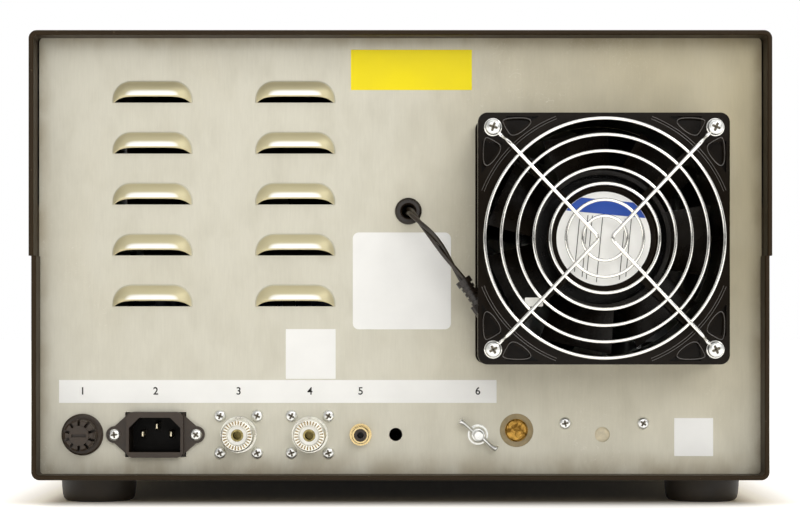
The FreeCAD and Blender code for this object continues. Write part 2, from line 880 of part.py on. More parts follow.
def press_louvres(body):
    """Press out one hood, open along its lower edge, and repeat it in two columns."""
    gauge = s.rear_gauge * 0.8
    foot = louvre_outline(0, 0, 0, s.louvre_corner)
    crown_corner = s.louvre_corner - s.louvre_crown
    crown = louvre_outline(s.louvre_end, s.louvre_lip, s.louvre_crown, crown_corner)
    inner_foot = louvre_outline(gauge, -gauge, gauge, s.louvre_corner - gauge)
    inner_crown = louvre_outline(s.louvre_end + gauge, s.louvre_lip - 2 * gauge,
                                 s.louvre_crown + gauge, crown_corner - gauge)
    slot = louvre_outline(gauge, 0, gauge, s.louvre_corner - gauge)
    features = []
    for kind, low, high, reach in (
        ("PartDesign::AdditiveLoft", foot, crown, s.louvre_reach),
        ("PartDesign::SubtractiveLoft", inner_foot, inner_crown, s.louvre_reach - gauge),
    ):
        loft = body.newObject(kind, body.Label + "_hood")
        loft.Profile = new_sketch(body, "XZ_Plane", [low])
        loft.Sections = [new_sketch(body, "XZ_Plane", [high], height=reach)]
        loft.Ruled = True
        features.append(loft)
    features.append(cut_in(body, new_sketch(body, "XZ_Plane", [slot]), s.rear_gauge))
    pattern = body.newObject("PartDesign::MultiTransform", body.Label + "_louvres")
    pattern.Originals = features
    steps = []
    for role, count, pitch in (("Z_Axis", 5, s.louvre_pitch), ("X_Axis", 2, s.louvre_column_pitch)):
        step = body.newObject("PartDesign::LinearPattern", body.Label + "_row")
        step.Direction = (plane_of(body, role), [""])
        step.Occurrences = count
        step.setExpression("Length", formula(pitch * (count - 1)))
        steps.append(step)
    pattern.Transformations = steps
    body.Tip = pattern


def panel_outline():
    """The flat panel that fills the case behind its hems."""
    bottom = tray_bottom + s.panel_gap
    top = case_top - s.cover_gauge - s.panel_gap
    corner = s.case_corner - s.cover_gauge + s.panel_gap
    side = tray_half
    return [(-side, bottom, corner), (side, bottom, corner), (side, top, corner), (-side, top, corner)]


def rear_panel():
    """Bare aluminium sheet with ten louvres and the openings for the fan and the connectors."""
    body = new_body("rear_panel")
    raise_up(body, new_sketch(body, "XZ_Plane", [panel_outline()]), s.rear_gauge, back=True)
    press_louvres(body)
    gap = s.hole_gap
    z = s.connector_z
    small = s.small_screw_radius + gap
    circles = [
        (s.fan_x, s.fan_z, s.fan_duct_radius),
        (s.fuse_x, z, s.fuse_body_radius + gap),
        (s.input_x, z, s.socket_shoulder_radius + gap),
        (s.output_x, z, s.socket_shoulder_radius + gap),
        (s.phono_x, z, s.phono_stem_radius + gap),
        (s.spare_x, z, s.spare_radius),
        (s.earth_x, z, s.earth_stud_radius + gap),
        (s.access_x, s.access_z, s.access_radius),
        (s.blank_x, z, s.blank_radius),
        (s.grommet_x, s.grommet_z, s.grommet_waist + gap),
    ]
    circles += [(x, up, s.fan_screw_radius + gap) for x, up in fan_holes]
    circles += [(x, up, small) for x, up in socket_holes + inlet_holes + bracket_holes]
    cut_out = rectangle(s.inlet_cut_width, s.inlet_cut_height, s.inlet_x, z)
    cut_in(body, new_sketch(body, "XZ_Plane", [cut_out], circles), s.rear_gauge)
    keep(place(body, 0, rear_face, 0))


def front_panel():
    """Thicker panel with the holes for the shafts, meters, rockers and lamps."""
    body = new_body("front_panel")
    raise_up(body, new_sketch(body, "XZ_Plane", [panel_outline()]), s.front_gauge)
    hole = s.shaft_radius + s.panel_shaft_gap
    circles = [
        (s.tune_x, s.capacitor_axis_z, hole),
        (s.load_x, s.capacitor_axis_z, hole),
        (s.band_x, s.band_z, hole),
        (s.meter_switch_x, s.meter_switch_z, hole),
        (s.meter_left_x, s.meter_z, s.meter_body_radius + s.hole_gap),
        (s.meter_right_x, s.meter_z, s.meter_body_radius + s.hole_gap),
    ]
    circles += [(x, s.lamp_z, s.lamp_radius + s.hole_gap) for x in lamp_places]
    loops = [rectangle(switch_width + s.hole_gap * 2, switch_height + s.hole_gap * 2, x, s.rocker_z)
             for x in (s.power_x, s.operate_x)]
    cut_in(body, new_sketch(body, "XZ_Plane", loops, circles), s.front_gauge, up=True)
    keep(place(body, 0, front_face, 0))


def on_rear(thing, x, z, height=0):
    """Stand a sub-part on the rear panel, its Z axis pointing out of the back."""
    return place(thing, x, rear_face - height, z, OUT_OF_REAR)


def on_front(thing, x, z, height=0):
    """Stand a sub-part on the front panel, its Z axis pointing out of the front."""
    return place(thing, x, front_face + height, z, OUT_OF_FRONT)


def fan_frame():
    """Moulded square frame: two flanges and a waisted duct."""
    body = new_body("fan_frame")
    side = s.fan_side
    depth = s.fan_depth
    raise_up(body, new_sketch(body, "XY_Plane", [rectangle(side, side, corner=s.fan_corner)]), depth)
    waist = s.fan_duct_radius + s.fan_wall
    around = rectangle(side + s.fan_corner, side + s.fan_corner)
    waist_sketch = new_sketch(body, "XY_Plane", [around], [(0, 0, waist)], s.fan_flange)
    cut_in(body, waist_sketch, depth - 2 * s.fan_flange, up=True)
    pitch = s.fan_hole_pitch / 2
    holes = [(x * pitch, y * pitch, s.fan_screw_radius + s.hole_gap) for x in (-1, 1) for y in (-1, 1)]
    holes.append((0, 0, s.fan_duct_radius))
    cut_in(body, new_sketch(body, "XY_Plane", circles=holes), depth, up=True)
    edge = side / 2 - s.fan_wall
    near = edge - s.fan_duct_radius * 0.48
    far = edge - s.fan_corner * 2.6
    pocket_back = edge - s.fan_corner * 2.2
    corners = [[(near, edge), (far, edge), (far - 1, pocket_back)],
               [(edge, near), (edge, far), (pocket_back, far - 1)]]
    recess = new_sketch(body, "XY_Plane", corners, height=depth)
    repeat_round(body, [cut_in(body, recess, s.fan_flange * 0.7)], 4)
    keep(on_rear(body, s.fan_x, s.fan_z))


def fan_spider():
    """The motor's fixed core on four struts, whose feet are seated on the duct's wall."""
    body = new_body("fan_spider")
    top = s.fan_depth - s.fan_strut / 2
    core_low = s.rotor_back_gap + s.rotor_wall + s.rotor_back_gap
    disc_low = s.rotor_back_gap + s.rotor_depth + s.rotor_back_gap / 2
    bore = s.fan_shaft_radius + s.shaft_gap
    spin(body, [
        (bore, core_low),
        (s.fan_core_radius, core_low),
        (s.fan_core_radius, disc_low),
        (s.fan_hub_radius, disc_low),
        (s.fan_hub_radius, top - s.fan_wall),
        (s.fan_hub_radius - s.fan_wall, top),
        (0, top),
        (0, disc_low),
        (bore, disc_low),
    ])
    beyond = s.fan_duct_radius + s.fan_wall
    reach = beyond - s.fan_hub_radius / 2
    strut = rectangle(reach, s.fan_strut, beyond - reach / 2, 0)
    strut_sketch = new_sketch(body, "XY_Plane", [strut], height=top)
    strut_sketch.AttachmentOffset = Placement(point(0, 0, top), Rotation(Vector(0, 0, 1), 45))
    strut_sketch.setExpression("AttachmentOffset.Base.z", formula(top))
    repeat_round(body, [raise_up(body, strut_sketch, s.fan_strut_depth, back=True)], 4)
    spin_away(body, [
        (s.fan_duct_radius, 0),
        (beyond * 2, 0),
        (beyond * 2, s.fan_depth),
        (s.fan_duct_radius, s.fan_depth),
    ])
    keep(on_rear(body, s.fan_x, s.fan_z))


def fan_impeller():
    """Seven cambered blades on a cup that turns round the fixed core on its own shaft."""
    body = new_body("fan_impeller")
    low = s.rotor_back_gap
    high = low + s.rotor_depth
    outer = s.rotor_radius
    spin(body, [(0, low), (outer, low), (outer, high), (0, high)])
    tip = s.fan_duct_radius - s.blade_tip_gap
    middle = low + s.rotor_depth / 2
    root_plane = blade_station(outer - s.rotor_wall / 2, s.blade_root_chord)
    tip_plane = blade_station(tip, s.blade_tip_chord)
    root = blade_section(s.blade_root_chord, s.blade_root_rise, middle, s.blade_gauge * 1.6)
    end = blade_section(s.blade_tip_chord, s.blade_tip_rise, middle, s.blade_gauge)
    loft = body.newObject("PartDesign::AdditiveLoft", "blade")
    loft.Profile = new_sketch(body, "YZ_Plane", [root], height=root_plane)
    loft.Sections = [new_sketch(body, "YZ_Plane", [end], height=tip_plane)]
    loft.Ruled = True
    repeat_round(body, [loft], 7)
    inside = outer - s.rotor_wall
    shaft = s.fan_shaft_radius
    spin_away(body, [
        (shaft, low + s.rotor_wall),
        (inside, low + s.rotor_wall),
        (inside, high + s.fan_depth),
        (shaft, high + s.fan_depth),
    ])
    keep(on_rear(body, s.fan_x, s.fan_z))


def blade_station(radius, chord):
    """How far from the axis a flat section lies when its ends are on a circle."""
    reach = math.sqrt(float(radius) ** 2 - float(chord) ** 2 / 4)
    return Size(reach, "sqrt(%s ^ 2 - %s ^ 2 / 4)" % (formula(radius), formula(chord)))


def blade_section(chord, rise, middle, gauge):
    """A thin strip that climbs along its chord, bowed in the middle."""
    bow = rise * 0.14
    return [
        (-chord / 2, middle - rise / 2),
        (-chord / 6, middle - rise / 6 - bow),
        (chord / 6, middle + rise / 6 - bow),
        (chord / 2, middle + rise / 2),
        (chord / 6, middle + rise / 6 - bow + gauge),
        (-chord / 6, middle - rise / 6 - bow + gauge),
    ]


def wire_ring(radius, height, wire):
    """A ring of six-sided wire about the Z axis."""
    corners = [Vector(radius + wire * math.cos(math.radians(30 + 60 * side)), 0,
                      height + wire * math.sin(math.radians(30 + 60 * side))) for side in range(7)]
    face = Part.Face(Part.makePolygon(corners))
    return face.revolve(Vector(0, 0, 0), Vector(0, 0, 1), 360)


def wire_run(corners, wire):
    """Six-sided wire along a path of straight runs."""
    spine = Part.makePolygon(corners)
    along = (corners[1] - corners[0]).normalize()
    section = [Vector(wire * math.cos(math.radians(60 * side)),
                      wire * math.sin(math.radians(60 * side)), 0) for side in range(7)]
    profile = Part.makePolygon(section)
    across = Vector(0, 0, 1)
    profile.Placement = Placement(corners[0], Rotation(across, Vector(), along, "XZY"))
    return Part.Solid(spine.makePipeShell([profile], True, False, 1))


def finger_guard():
    """Seven rings welded under two bent spokes, whose ends are looped round the fan screws."""
    ring_wire = float(s.guard_ring_wire) / 2
    spoke_wire = float(s.guard_spoke_wire) / 2
    spoke_height = float(s.guard_reach) - spoke_wire
    weld = ring_wire * 0.3
    ring_height = spoke_height - spoke_wire - ring_wire + weld
    pieces = []
    for number in range(7):
        radius = float(s.guard_first_ring) + number * float(s.guard_ring_pitch)
        pieces.append(wire_ring(radius, ring_height, ring_wire))
    screw = float(s.fan_hole_pitch) / 2
    eye = float(s.fan_screw_radius) + float(s.hole_gap) + spoke_wire
    diagonal = math.sqrt(0.5)
    kink = float(s.guard_kink_radius) * diagonal
    foot = kink + float(s.guard_kink_run) * diagonal
    for side in (-1, 1):
        path = []
        for up in (1, -1):
            leg = [Vector(side * (screw - eye * diagonal), up * (screw - eye * diagonal), spoke_wire),
                   Vector(side * foot, up * foot, spoke_wire),
                   Vector(side * kink, up * kink, spoke_height)]
            path += leg if up == 1 else leg[::-1]
        path.insert(3, Vector(side * float(s.guard_apex_offset), 0, spoke_height))
        pieces.append(wire_run(path, spoke_wire))
        for up in (1, -1):
            loop = wire_ring(eye, spoke_wire, spoke_wire)
            loop.translate(Vector(side * screw, up * screw, 0))
            pieces.append(loop)
    guard = doc.addObject("Part::Feature", "finger_guard")
    guard.Label = "finger_guard"
    guard.Shape = pieces[0].multiFuse(pieces[1:])
    keep(on_rear(guard, s.fan_x, s.fan_z, s.fan_depth))


def fan_screws():
    """Long screws through the guard's loops, the fan and the panel, each with a nut inside."""
    reach = s.guard_spoke_wire + s.fan_depth + s.rear_gauge + s.nut_height + s.nut_height / 2
    screw = pan_screw("fan_screw", s.fan_screw_head, s.fan_screw_head_height, s.fan_screw_radius, reach)
    nut = hex_nut("fan_nut", s.fan_screw_head, s.nut_height, s.fan_screw_radius + s.hole_gap)
    seat = rear_face - s.fan_depth - s.guard_spoke_wire
    links = copies("fan_screw_copy", screw, [(x, seat, z) for x, z in fan_holes], OUT_OF_REAR)
    spots = [(x, rear_inside + s.nut_height, z) for x, z in fan_holes]
    links += copies("fan_nut_copy", nut, spots, OUT_OF_REAR)
    keep(group("fan_screws", links))


def cable_grommet():
    """Rubber ring that grips the edge of its hole."""
    body = new_body("cable_grommet")
    waist = s.grommet_waist
    inner = -s.rear_gauge
    back = inner - s.grommet_proud
    spin(body, [
        (s.grommet_bore, back),
        (s.grommet_radius, back),
        (s.grommet_radius, inner),
        (waist, inner),
        (waist, 0),
        (s.grommet_radius, 0),
        (s.grommet_radius, s.grommet_proud * 0.5),
        (s.grommet_radius - s.grommet_proud * 0.5, s.grommet_proud),
        (s.grommet_bore + s.grommet_proud * 0.4, s.grommet_proud),
        (s.grommet_bore, s.grommet_proud * 0.6),
    ])
    keep(on_rear(body, s.grommet_x, s.grommet_z))


def fan_plug():
    """Small two-pole plug with a ribbed strain relief and a collar, held in the frame's corner."""
    body = new_body("fan_plug")
    collar = s.collar_length
    outline = [(0, 0), (s.collar_radius, 0), (s.collar_radius, collar)]
    ribs = 4
    pitch = s.relief_length / ribs
    root = s.relief_radius - 0.7
    for number in range(ribs):
        low = collar + pitch * number
        outline += [(root, low), (root, low + pitch / 3), (s.relief_radius, low + pitch / 3),
                    (s.relief_radius, low + pitch * 0.95)]
    outline.append((0, collar + s.relief_length))
    spin(body, outline)
    start = collar + s.relief_length
    shape = rectangle(s.plug_width, s.plug_depth, corner=s.plug_depth / 6)
    raise_up(body, new_sketch(body, "XY_Plane", [shape], height=start - 0.5), s.plug_length)
    keep(place(body, s.plug_x, rear_face - s.lead_stand_off, s.plug_z, plug_direction))


def rounded_path(corners):
    """Straight runs joined by tangent arcs, each as large as the shorter of its runs allows."""
    edges = []
    here = corners[0]
    for before, corner, after in zip(corners, corners[1:], corners[2:]):
        inward = (corner - before).normalize()
        outward = (after - corner).normalize()
        turn = inward.getAngle(outward)
        setback = 0.45 * min((corner - before).Length, (after - corner).Length)
        radius = setback / math.tan(turn / 2)
        print("lead arc of radius %.1f mm, turn %.0f degrees" % (radius, math.degrees(turn)))
        start = corner - inward * setback
        end = corner + outward * setback
        bisector = (outward - inward).normalize()
        middle = corner + bisector * (radius / math.cos(turn / 2) - radius)
        edges.append(Part.LineSegment(here, start).toShape())
        edges.append(Part.Arc(start, middle, end).toShape())
        here = end
    edges.append(Part.LineSegment(here, corners[-1]).toShape())
    return Part.Wire(edges)


def fan_lead():
    """Short twin lead from the grommet to the plug's collar."""
    along = plug_direction.multVec(Vector(0, 0, 1))
    end = point(s.plug_x, rear_face - s.lead_stand_off, s.plug_z) - along * 0.05
    start = point(s.grommet_x, rear_face + s.rear_gauge, s.grommet_z)
    stand_off = float(s.lead_stand_off)
    corners = [
        start,
        start + Vector(0.6, -11.5, -0.4),
        Vector(start.x + 3.6, end.y + stand_off * 0.14, start.z - 4.5),
        Vector(start.x + 12.0, end.y - 1.6, start.z - 13.5),
        end - along * 11.0,
        end,
    ]
    path = rounded_path(corners)
    radius = float(s.lead_radius)
    facing = (corners[1] - corners[0]).normalize()
    section = Part.Wire(Part.Circle(corners[0], facing, radius).toShape())
    lead = doc.addObject("Part::Feature", "fan_lead")
    lead.Label = "fan_lead"
    lead.Shape = Part.Solid(path.makePipeShell([section], True, False, 2))
    print("lead length %.1f mm, volume %.1f against %.1f" % (
        path.Length, lead.Shape.Volume, math.pi * radius ** 2 * path.Length))
    keep(lead)


def fuse_holder():
    """Flanged barrel with a bore for the fuse and a nut inside the panel."""
    body = new_body("fuse_holder")
    back = -(s.rear_gauge + s.fuse_body_depth)
    seat = -s.rear_gauge
    spin(body, [
        (0, back),
        (s.fuse_body_radius, back),
        (s.fuse_body_radius, 0),
        (s.fuse_flange_radius, 0),
        (s.fuse_flange_radius, s.fuse_flange_height * 0.6),
        (s.fuse_flange_radius - s.fuse_flange_height * 0.4, s.fuse_flange_height),
        (s.fuse_bore_radius, s.fuse_flange_height),
        (s.fuse_bore_radius, s.fuse_flange_height - s.fuse_shank_length - s.fuse_link_length),
        (0, s.fuse_flange_height - s.fuse_shank_length - s.fuse_link_length),
    ])
    corners = [(s.fuse_nut_radius * cosine(60 * side), s.fuse_nut_radius * sine(60 * side))
               for side in range(6)]
    raise_up(body, new_sketch(body, "XY_Plane", [corners], [(0, 0, s.fuse_body_radius * 0.95)], seat),
             s.nut_height, back=True)
    keep(on_rear(body, s.fuse_x, s.connector_z))


def fuse_cap():
    """Ribbed bayonet cap with a slotted hub, its shank inside the holder."""
    body = new_body("fuse_cap")
    seat = s.fuse_flange_height
    top = seat + s.fuse_cap_height
    rim = s.fuse_cap_radius
    spin(body, [
        (0, seat - s.fuse_shank_length),
        (s.fuse_shank_radius, seat - s.fuse_shank_length),
        (s.fuse_shank_radius, seat),
        (rim, seat),
        (rim, top - s.fuse_cap_hub * 0.3),
        (rim - s.fuse_cap_hub * 0.2, top - s.fuse_cap_hub * 0.1),
        (s.fuse_cap_hub, top - s.fuse_cap_hub * 0.1),
        (s.fuse_cap_hub, top),
        (0, top),
    ])
    groove = rectangle(s.fuse_cap_hub * 0.28, rim, 0, s.fuse_cap_hub + rim / 2)
    grooves = cut_in(body, new_sketch(body, "XY_Plane", [groove], height=top), s.fuse_cap_height * 0.6)
    repeat_round(body, [grooves], 10)
    slot = rectangle(s.fuse_cap_hub * 1.48, s.fuse_cap_hub * 0.29)
    cut_in(body, new_sketch(body, "XY_Plane", [slot], height=top), s.fuse_cap_hub * 0.3)
    cut_in(body, new_sketch(body, "XY_Plane", circles=[(0, 0, s.fuse_link_radius + s.shaft_gap)],
                            height=seat - s.fuse_shank_length), s.fuse_shank_length / 2, up=True)
    keep(on_rear(body, s.fuse_x, s.connector_z))


def fuse_link():
    """Glass fuse with a metal cap at each end, its outer end held in the screwed cap."""
    body = new_body("fuse_link")
    top = s.fuse_flange_height - s.fuse_shank_length / 2
    low = top - s.fuse_link_length
    cap = s.fuse_link_length / 5
    glass = s.fuse_link_radius * 0.88
    spin(body, [(0, low), (s.fuse_link_radius, low), (s.fuse_link_radius, low + cap), (glass, low + cap),
                (glass, top - cap), (s.fuse_link_radius, top - cap), (s.fuse_link_radius, top), (0, top)])
    keep(on_rear(body, s.fuse_x, s.connector_z))


def inlet_housing():
    """Moulded mains inlet: an eye-shaped flange, a raised collar and a cavity with two cut corners."""
    body = new_body("inlet_housing")
    flange = s.inlet_flange
    tip = s.inlet_tip_radius
    ear = s.inlet_screw_pitch / 2
    shoulder = s.collar_width / 2
    rise = s.collar_height / 2 * 0.86
    eye = [(-ear, -tip), (-shoulder, -rise), (shoulder, -rise), (ear, -tip),
           (ear, tip), (shoulder, rise), (-shoulder, rise), (-ear, tip)]
    raise_up(body, new_sketch(body, "XY_Plane", [eye]), flange)
    for side in (-1, 1):
        raise_up(body, new_sketch(body, "XY_Plane", circles=[(side * ear, 0, tip)]), flange)
    collar = rectangle(s.collar_width, s.collar_height, corner=s.collar_corner)
    raise_up(body, new_sketch(body, "XY_Plane", [collar]), s.collar_reach)
    inner = rectangle(s.inlet_body_width, s.inlet_body_height)
    raise_up(body, new_sketch(body, "XY_Plane", [inner], height=-(s.rear_gauge + s.inlet_body_depth)),
             s.rear_gauge + s.inlet_body_depth)
    half = s.inlet_mouth_width / 2
    low = -s.inlet_mouth_height / 2
    high = s.inlet_mouth_height / 2
    cut = s.inlet_mouth_chamfer
    mouth = [(-half, low), (half, low), (half, high - cut), (half - cut, high),
             (cut - half, high), (-half, high - cut)]
    cut_in(body, new_sketch(body, "XY_Plane", [mouth], height=s.collar_reach), s.inlet_mouth_depth)
    screws = [(side * ear, 0, s.small_screw_radius + s.hole_gap) for side in (-1, 1)]
    cut_in(body, new_sketch(body, "XY_Plane", circles=screws, height=flange), flange)
    blades = [rectangle(s.inlet_pin_width, s.inlet_pin_height, x, y) for x, y in inlet_pin_places]
    cut_in(body, new_sketch(body, "XY_Plane", blades, height=s.collar_reach - s.inlet_mouth_depth),
           s.inlet_body_depth)
    keep(on_rear(body, s.inlet_x, s.connector_z))


def inlet_pins():
    """Three flat contact blades that run through the back of the inlet to their tabs."""
    blades = []
    high = s.collar_reach - s.inlet_mouth_depth + s.inlet_pin_length
    low = -(s.rear_gauge + s.inlet_body_depth + s.inlet_tab_length)
    for number, (x, y) in enumerate(inlet_pin_places):
        blade = new_body("inlet_blade_%d" % number)
        section = rectangle(s.inlet_pin_width, s.inlet_pin_height)
        raise_up(blade, new_sketch(blade, "XY_Plane", [section], height=low), high - low)
        blades.append(on_rear(blade, s.inlet_x + x, s.connector_z + y))
    keep(group("inlet_pins", blades))


def coaxial_socket(label, x):
    """Threaded socket shell with a square flange behind the panel."""
    body = new_body(label)
    back = -s.rear_gauge
    flange = back - s.socket_flange_gauge
    top = s.socket_reach
    spin(body, [
        (s.socket_bore_radius, flange - s.socket_back_length),
        (s.socket_back_radius, flange - s.socket_back_length),
        (s.socket_back_radius, flange + s.socket_flange_gauge / 2),
        (s.socket_shoulder_radius, flange + s.socket_flange_gauge / 2),
        (s.socket_shoulder_radius, s.socket_shoulder_height),
        (s.socket_thread_radius, s.socket_shoulder_height),
        (s.socket_thread_radius, top - s.socket_nose_length),
        (s.socket_nose_radius, top - s.socket_nose_length),
        (s.socket_nose_radius, top),
        (s.socket_bore_radius, top),
    ])
    plate = rectangle(s.socket_flange, s.socket_flange)
    holes = [(a * s.socket_screw_pitch / 2, b * s.socket_screw_pitch / 2,
              s.small_screw_radius + s.hole_gap) for a in (-1, 1) for b in (-1, 1)]
    holes.append((0, 0, s.socket_bore_radius))
    raise_up(body, new_sketch(body, "XY_Plane", [plate], holes, flange), s.socket_flange_gauge)
    keep(on_rear(body, x, s.connector_z))


def socket_insulators():
    """White insulating plug round each centre contact."""
    body = new_body("socket_insulator")
    low = -(s.rear_gauge + s.socket_flange_gauge + s.socket_back_length)
    top = s.socket_reach - s.insulator_recess
    radius = s.socket_bore_radius - s.shaft_gap
    bore = s.contact_radius + s.shaft_gap
    spin(body, [(bore, low), (radius, low), (radius, top - 0.4), (radius - 0.4, top), (bore, top)])
    spots = [(x, rear_face, s.connector_z) for x in (s.input_x, s.output_x)]
    keep(group("socket_insulators", copies("socket_insulator_copy", body, spots, OUT_OF_REAR)))


def socket_contacts():
    """Hollow centre contacts with a solder tail."""
    body = new_body("socket_contact")
    low = -(s.rear_gauge + s.socket_flange_gauge + s.socket_back_length)
    top = s.socket_reach - s.insulator_recess
    spin(body, [
        (0, low - s.contact_tail_length),
        (s.contact_tail_radius, low - s.contact_tail_length),
        (s.contact_tail_radius, low),
        (s.contact_radius, low),
        (s.contact_radius, top),
        (s.contact_bore, top),
        (s.contact_bore, top - s.contact_bore_depth),
        (0, top - s.contact_bore_depth),
    ])
    spots = [(x, rear_face, s.connector_z) for x in (s.input_x, s.output_x)]
    keep(group("socket_contacts", copies("socket_contact_copy", body, spots, OUT_OF_REAR)))


def panel_screws():
    """Small screws for the sockets, the inlet and the bracket, each with its nut inside."""
    links = []
    nut = hex_nut("small_nut", s.small_nut_radius, s.small_nut_height, s.small_screw_radius + s.hole_gap)
    tail = s.small_nut_height * 1.4
    stacks = (
        ("socket_screw", socket_holes, 0, s.socket_flange_gauge),
        ("inlet_screw", inlet_holes, s.inlet_flange, 0),
        ("bracket_screw", bracket_holes, 0, s.bracket_gauge),
    )
    for name, spots, outside, inside in stacks:
        reach = outside + s.rear_gauge + inside + tail
        screw = pan_screw(name, s.small_screw_head, s.small_screw_head_height,
                          s.small_screw_radius, reach)
        seats = [(x, rear_face - outside, z) for x, z in spots]
        links += copies(name + "_copy", screw, seats, OUT_OF_REAR)
        backs = [(x, rear_inside + inside + s.small_nut_height, z) for x, z in spots]
        links += copies(name + "_nut", nut, backs, OUT_OF_REAR)
    keep(group("panel_screws", links))


def phono_socket():
    """Turned sleeve with a flange, its threaded stem through the panel."""
    body = new_body("phono_socket")
    low = -(s.rear_gauge + s.phono_reach * 0.7)
    spin(body, [
        (s.phono_bore_radius, low),
        (s.phono_stem_radius, low),
        (s.phono_stem_radius, 0),
        (s.phono_flange_radius, 0),
        (s.phono_flange_radius, s.phono_flange_height),
        (s.phono_radius, s.phono_flange_height),
        (s.phono_radius, s.phono_reach - 0.3),
        (s.phono_radius - 0.3, s.phono_reach),
        (s.phono_bore_radius, s.phono_reach),
    ])
    keep(on_rear(body, s.phono_x, s.connector_z))


def phono_insulator():
    """Dark plug with the hole for the centre pin and a tail behind."""
    body = new_body("phono_insulator")
    low = -(s.rear_gauge + s.phono_reach * 0.7)
    top = s.phono_reach - s.phono_flange_height * 0.4
    radius = s.phono_bore_radius - s.shaft_gap
    spin(body, [
        (0, low - s.phono_reach * 0.6),
        (s.phono_pin_radius * 0.6, low - s.phono_reach * 0.6),
        (s.phono_pin_radius * 0.6, low),
        (radius, low),
        (radius, top),
        (s.phono_pin_radius, top),
        (s.phono_pin_radius, 0),
        (0, 0),
    ])
    keep(on_rear(body, s.phono_x, s.connector_z))


def earth_stud():
    """Stud with its nut and shoulder inside the panel."""
    body = new_body("earth_stud")
    low = -(s.rear_gauge + s.nut_height * 2)
    radius = s.earth_stud_radius
    spin(body, [(0, low), (radius, low), (radius, s.earth_stud_reach - 0.5),
                (radius - 0.5, s.earth_stud_reach), (0, s.earth_stud_reach)])
    corners = [(s.earth_washer_radius * cosine(60 * side), s.earth_washer_radius * sine(60 * side))
               for side in range(6)]
    raise_up(body, new_sketch(body, "XY_Plane", [corners], height=-s.rear_gauge), s.nut_height, back=True)
    keep(on_rear(body, s.earth_x, s.connector_z))


def earth_washer():
    body = new_body("earth_washer")
    bore = s.earth_stud_radius + s.shaft_gap
    circles = [(0, 0, s.earth_washer_radius), (0, 0, bore)]
    raise_up(body, new_sketch(body, "XY_Plane", circles=circles), s.earth_washer_gauge)
    keep(on_rear(body, s.earth_x, s.connector_z))


def wing_nut():
    """Round hub with two upswept wings."""
    body = new_body("wing_nut")
    low = s.earth_washer_gauge
    hub = s.wing_hub_radius
    top = low + s.wing_hub_height
    bore = s.earth_stud_radius + s.shaft_gap
    spin(body, [(bore, low), (hub, low), (hub * 0.8, top), (bore, top)])
    tip = s.wing_span / 2
    root = hub * 0.8
    for side in (-1, 1):
        wing = [
            (side * root, low + s.wing_hub_height * 0.12),
            (side * (tip - s.wing_hub_height * 0.45), low + s.wing_hub_height * 0.5),
            (side * tip, low + s.wing_hub_height * 0.95),
            (side * tip, s.wing_top - s.wing_gauge * 0.7),
            (side * (tip - s.wing_gauge * 0.8), s.wing_top),
            (side * (root + s.wing_gauge), s.wing_top - s.wing_gauge * 1.3),
            (side * root, top - s.wing_gauge * 0.3),
        ]
        raise_up(body, new_sketch(body, "XZ_Plane", [wing]), s.wing_gauge, both=True)
    turned = OUT_OF_REAR.multiply(Rotation(Vector(0, 0, 1), float(s.wing_turn)))
    keep(place(body, s.earth_x, rear_face, s.connector_z, turned))


def access_bracket():
    """Folded bracket behind the panel, its foot on the tray under the deck."""
    body = new_body("access_bracket")
    gauge = s.bracket_gauge
    face = [(s.bracket_left, s.bracket_low), (s.bracket_right, s.bracket_low),
            (s.bracket_right, s.bracket_high), (s.bracket_left, s.bracket_high)]
    circles = [(s.access_x, s.access_z, s.bush_hole_radius)]
    circles += [(x, z, s.small_screw_radius + s.hole_gap) for x, z in bracket_holes]
    raise_up(body, new_sketch(body, "XZ_Plane", [face], circles), gauge, back=True)
    shelf = [(s.bracket_left, s.bracket_high - gauge), (s.bracket_right, s.bracket_high - gauge),
             (s.bracket_right, s.bracket_high), (s.bracket_left, s.bracket_high)]
    raise_up(body, new_sketch(body, "XZ_Plane", [shelf]), s.bracket_depth, back=True)
    keep(place(body, 0, rear_inside, 0))


def brass_bush():
    """Turned bush with its collar against the back of the bracket."""
    body = new_body("brass_bush")
    seat = -(s.rear_gauge + s.bracket_gauge)
    face = seat + s.bracket_gauge * 0.6
    spin(body, [
        (0, seat - s.bush_collar_gauge),
        (s.bush_collar_radius, seat - s.bush_collar_gauge),
        (s.bush_collar_radius, seat),
        (s.bush_radius, seat),
        (s.bush_radius, face - 0.3),
        (s.bush_radius - 0.3, face),
        (0, face),
    ])
    keep(on_rear(body, s.access_x, s.access_z))


def transformer():
    """Toroidal transformer flat on the tray, held by a dished clamp and one bolt."""
    core = new_body("transformer")
    low = tray_floor
    high = low + s.transformer_height
    edge = s.transformer_edge
    inner = s.transformer_hole
    outer = s.transformer_radius
    spin(core, [
        (inner + edge, low),
        (outer - edge, low),
        (outer, low + edge),
        (outer, high - edge),
        (outer - edge, high),
        (inner + edge, high),
        (inner, high - edge),
        (inner, low + edge),
    ])
    keep(place(core, s.transformer_x, transformer_y, 0))
    clamp = new_body("transformer_clamp")
    bolt = s.transformer_bolt_radius
    dish = high + s.clamp_gauge
    spin(clamp, [
        (0, tray_bottom),
        (bolt, tray_bottom),
        (bolt, high - edge),
        (inner - s.clamp_gauge, high - edge),
        (inner, high),
        (s.clamp_radius, high),
        (s.clamp_radius, dish),
        (inner - s.clamp_gauge, dish),
        (s.transformer_bolt_head, high - edge + s.clamp_gauge * 2),
        (s.transformer_bolt_head, dish),
        (0, dish),
    ])
    keep(place(clamp, s.transformer_x, transformer_y, 0))


def copies_that_fit(room, pitch):
    """How many copies stand in a row whose first and last middles are this far apart at most."""
    return int(float(room) / float(pitch) + 0.001) + 1


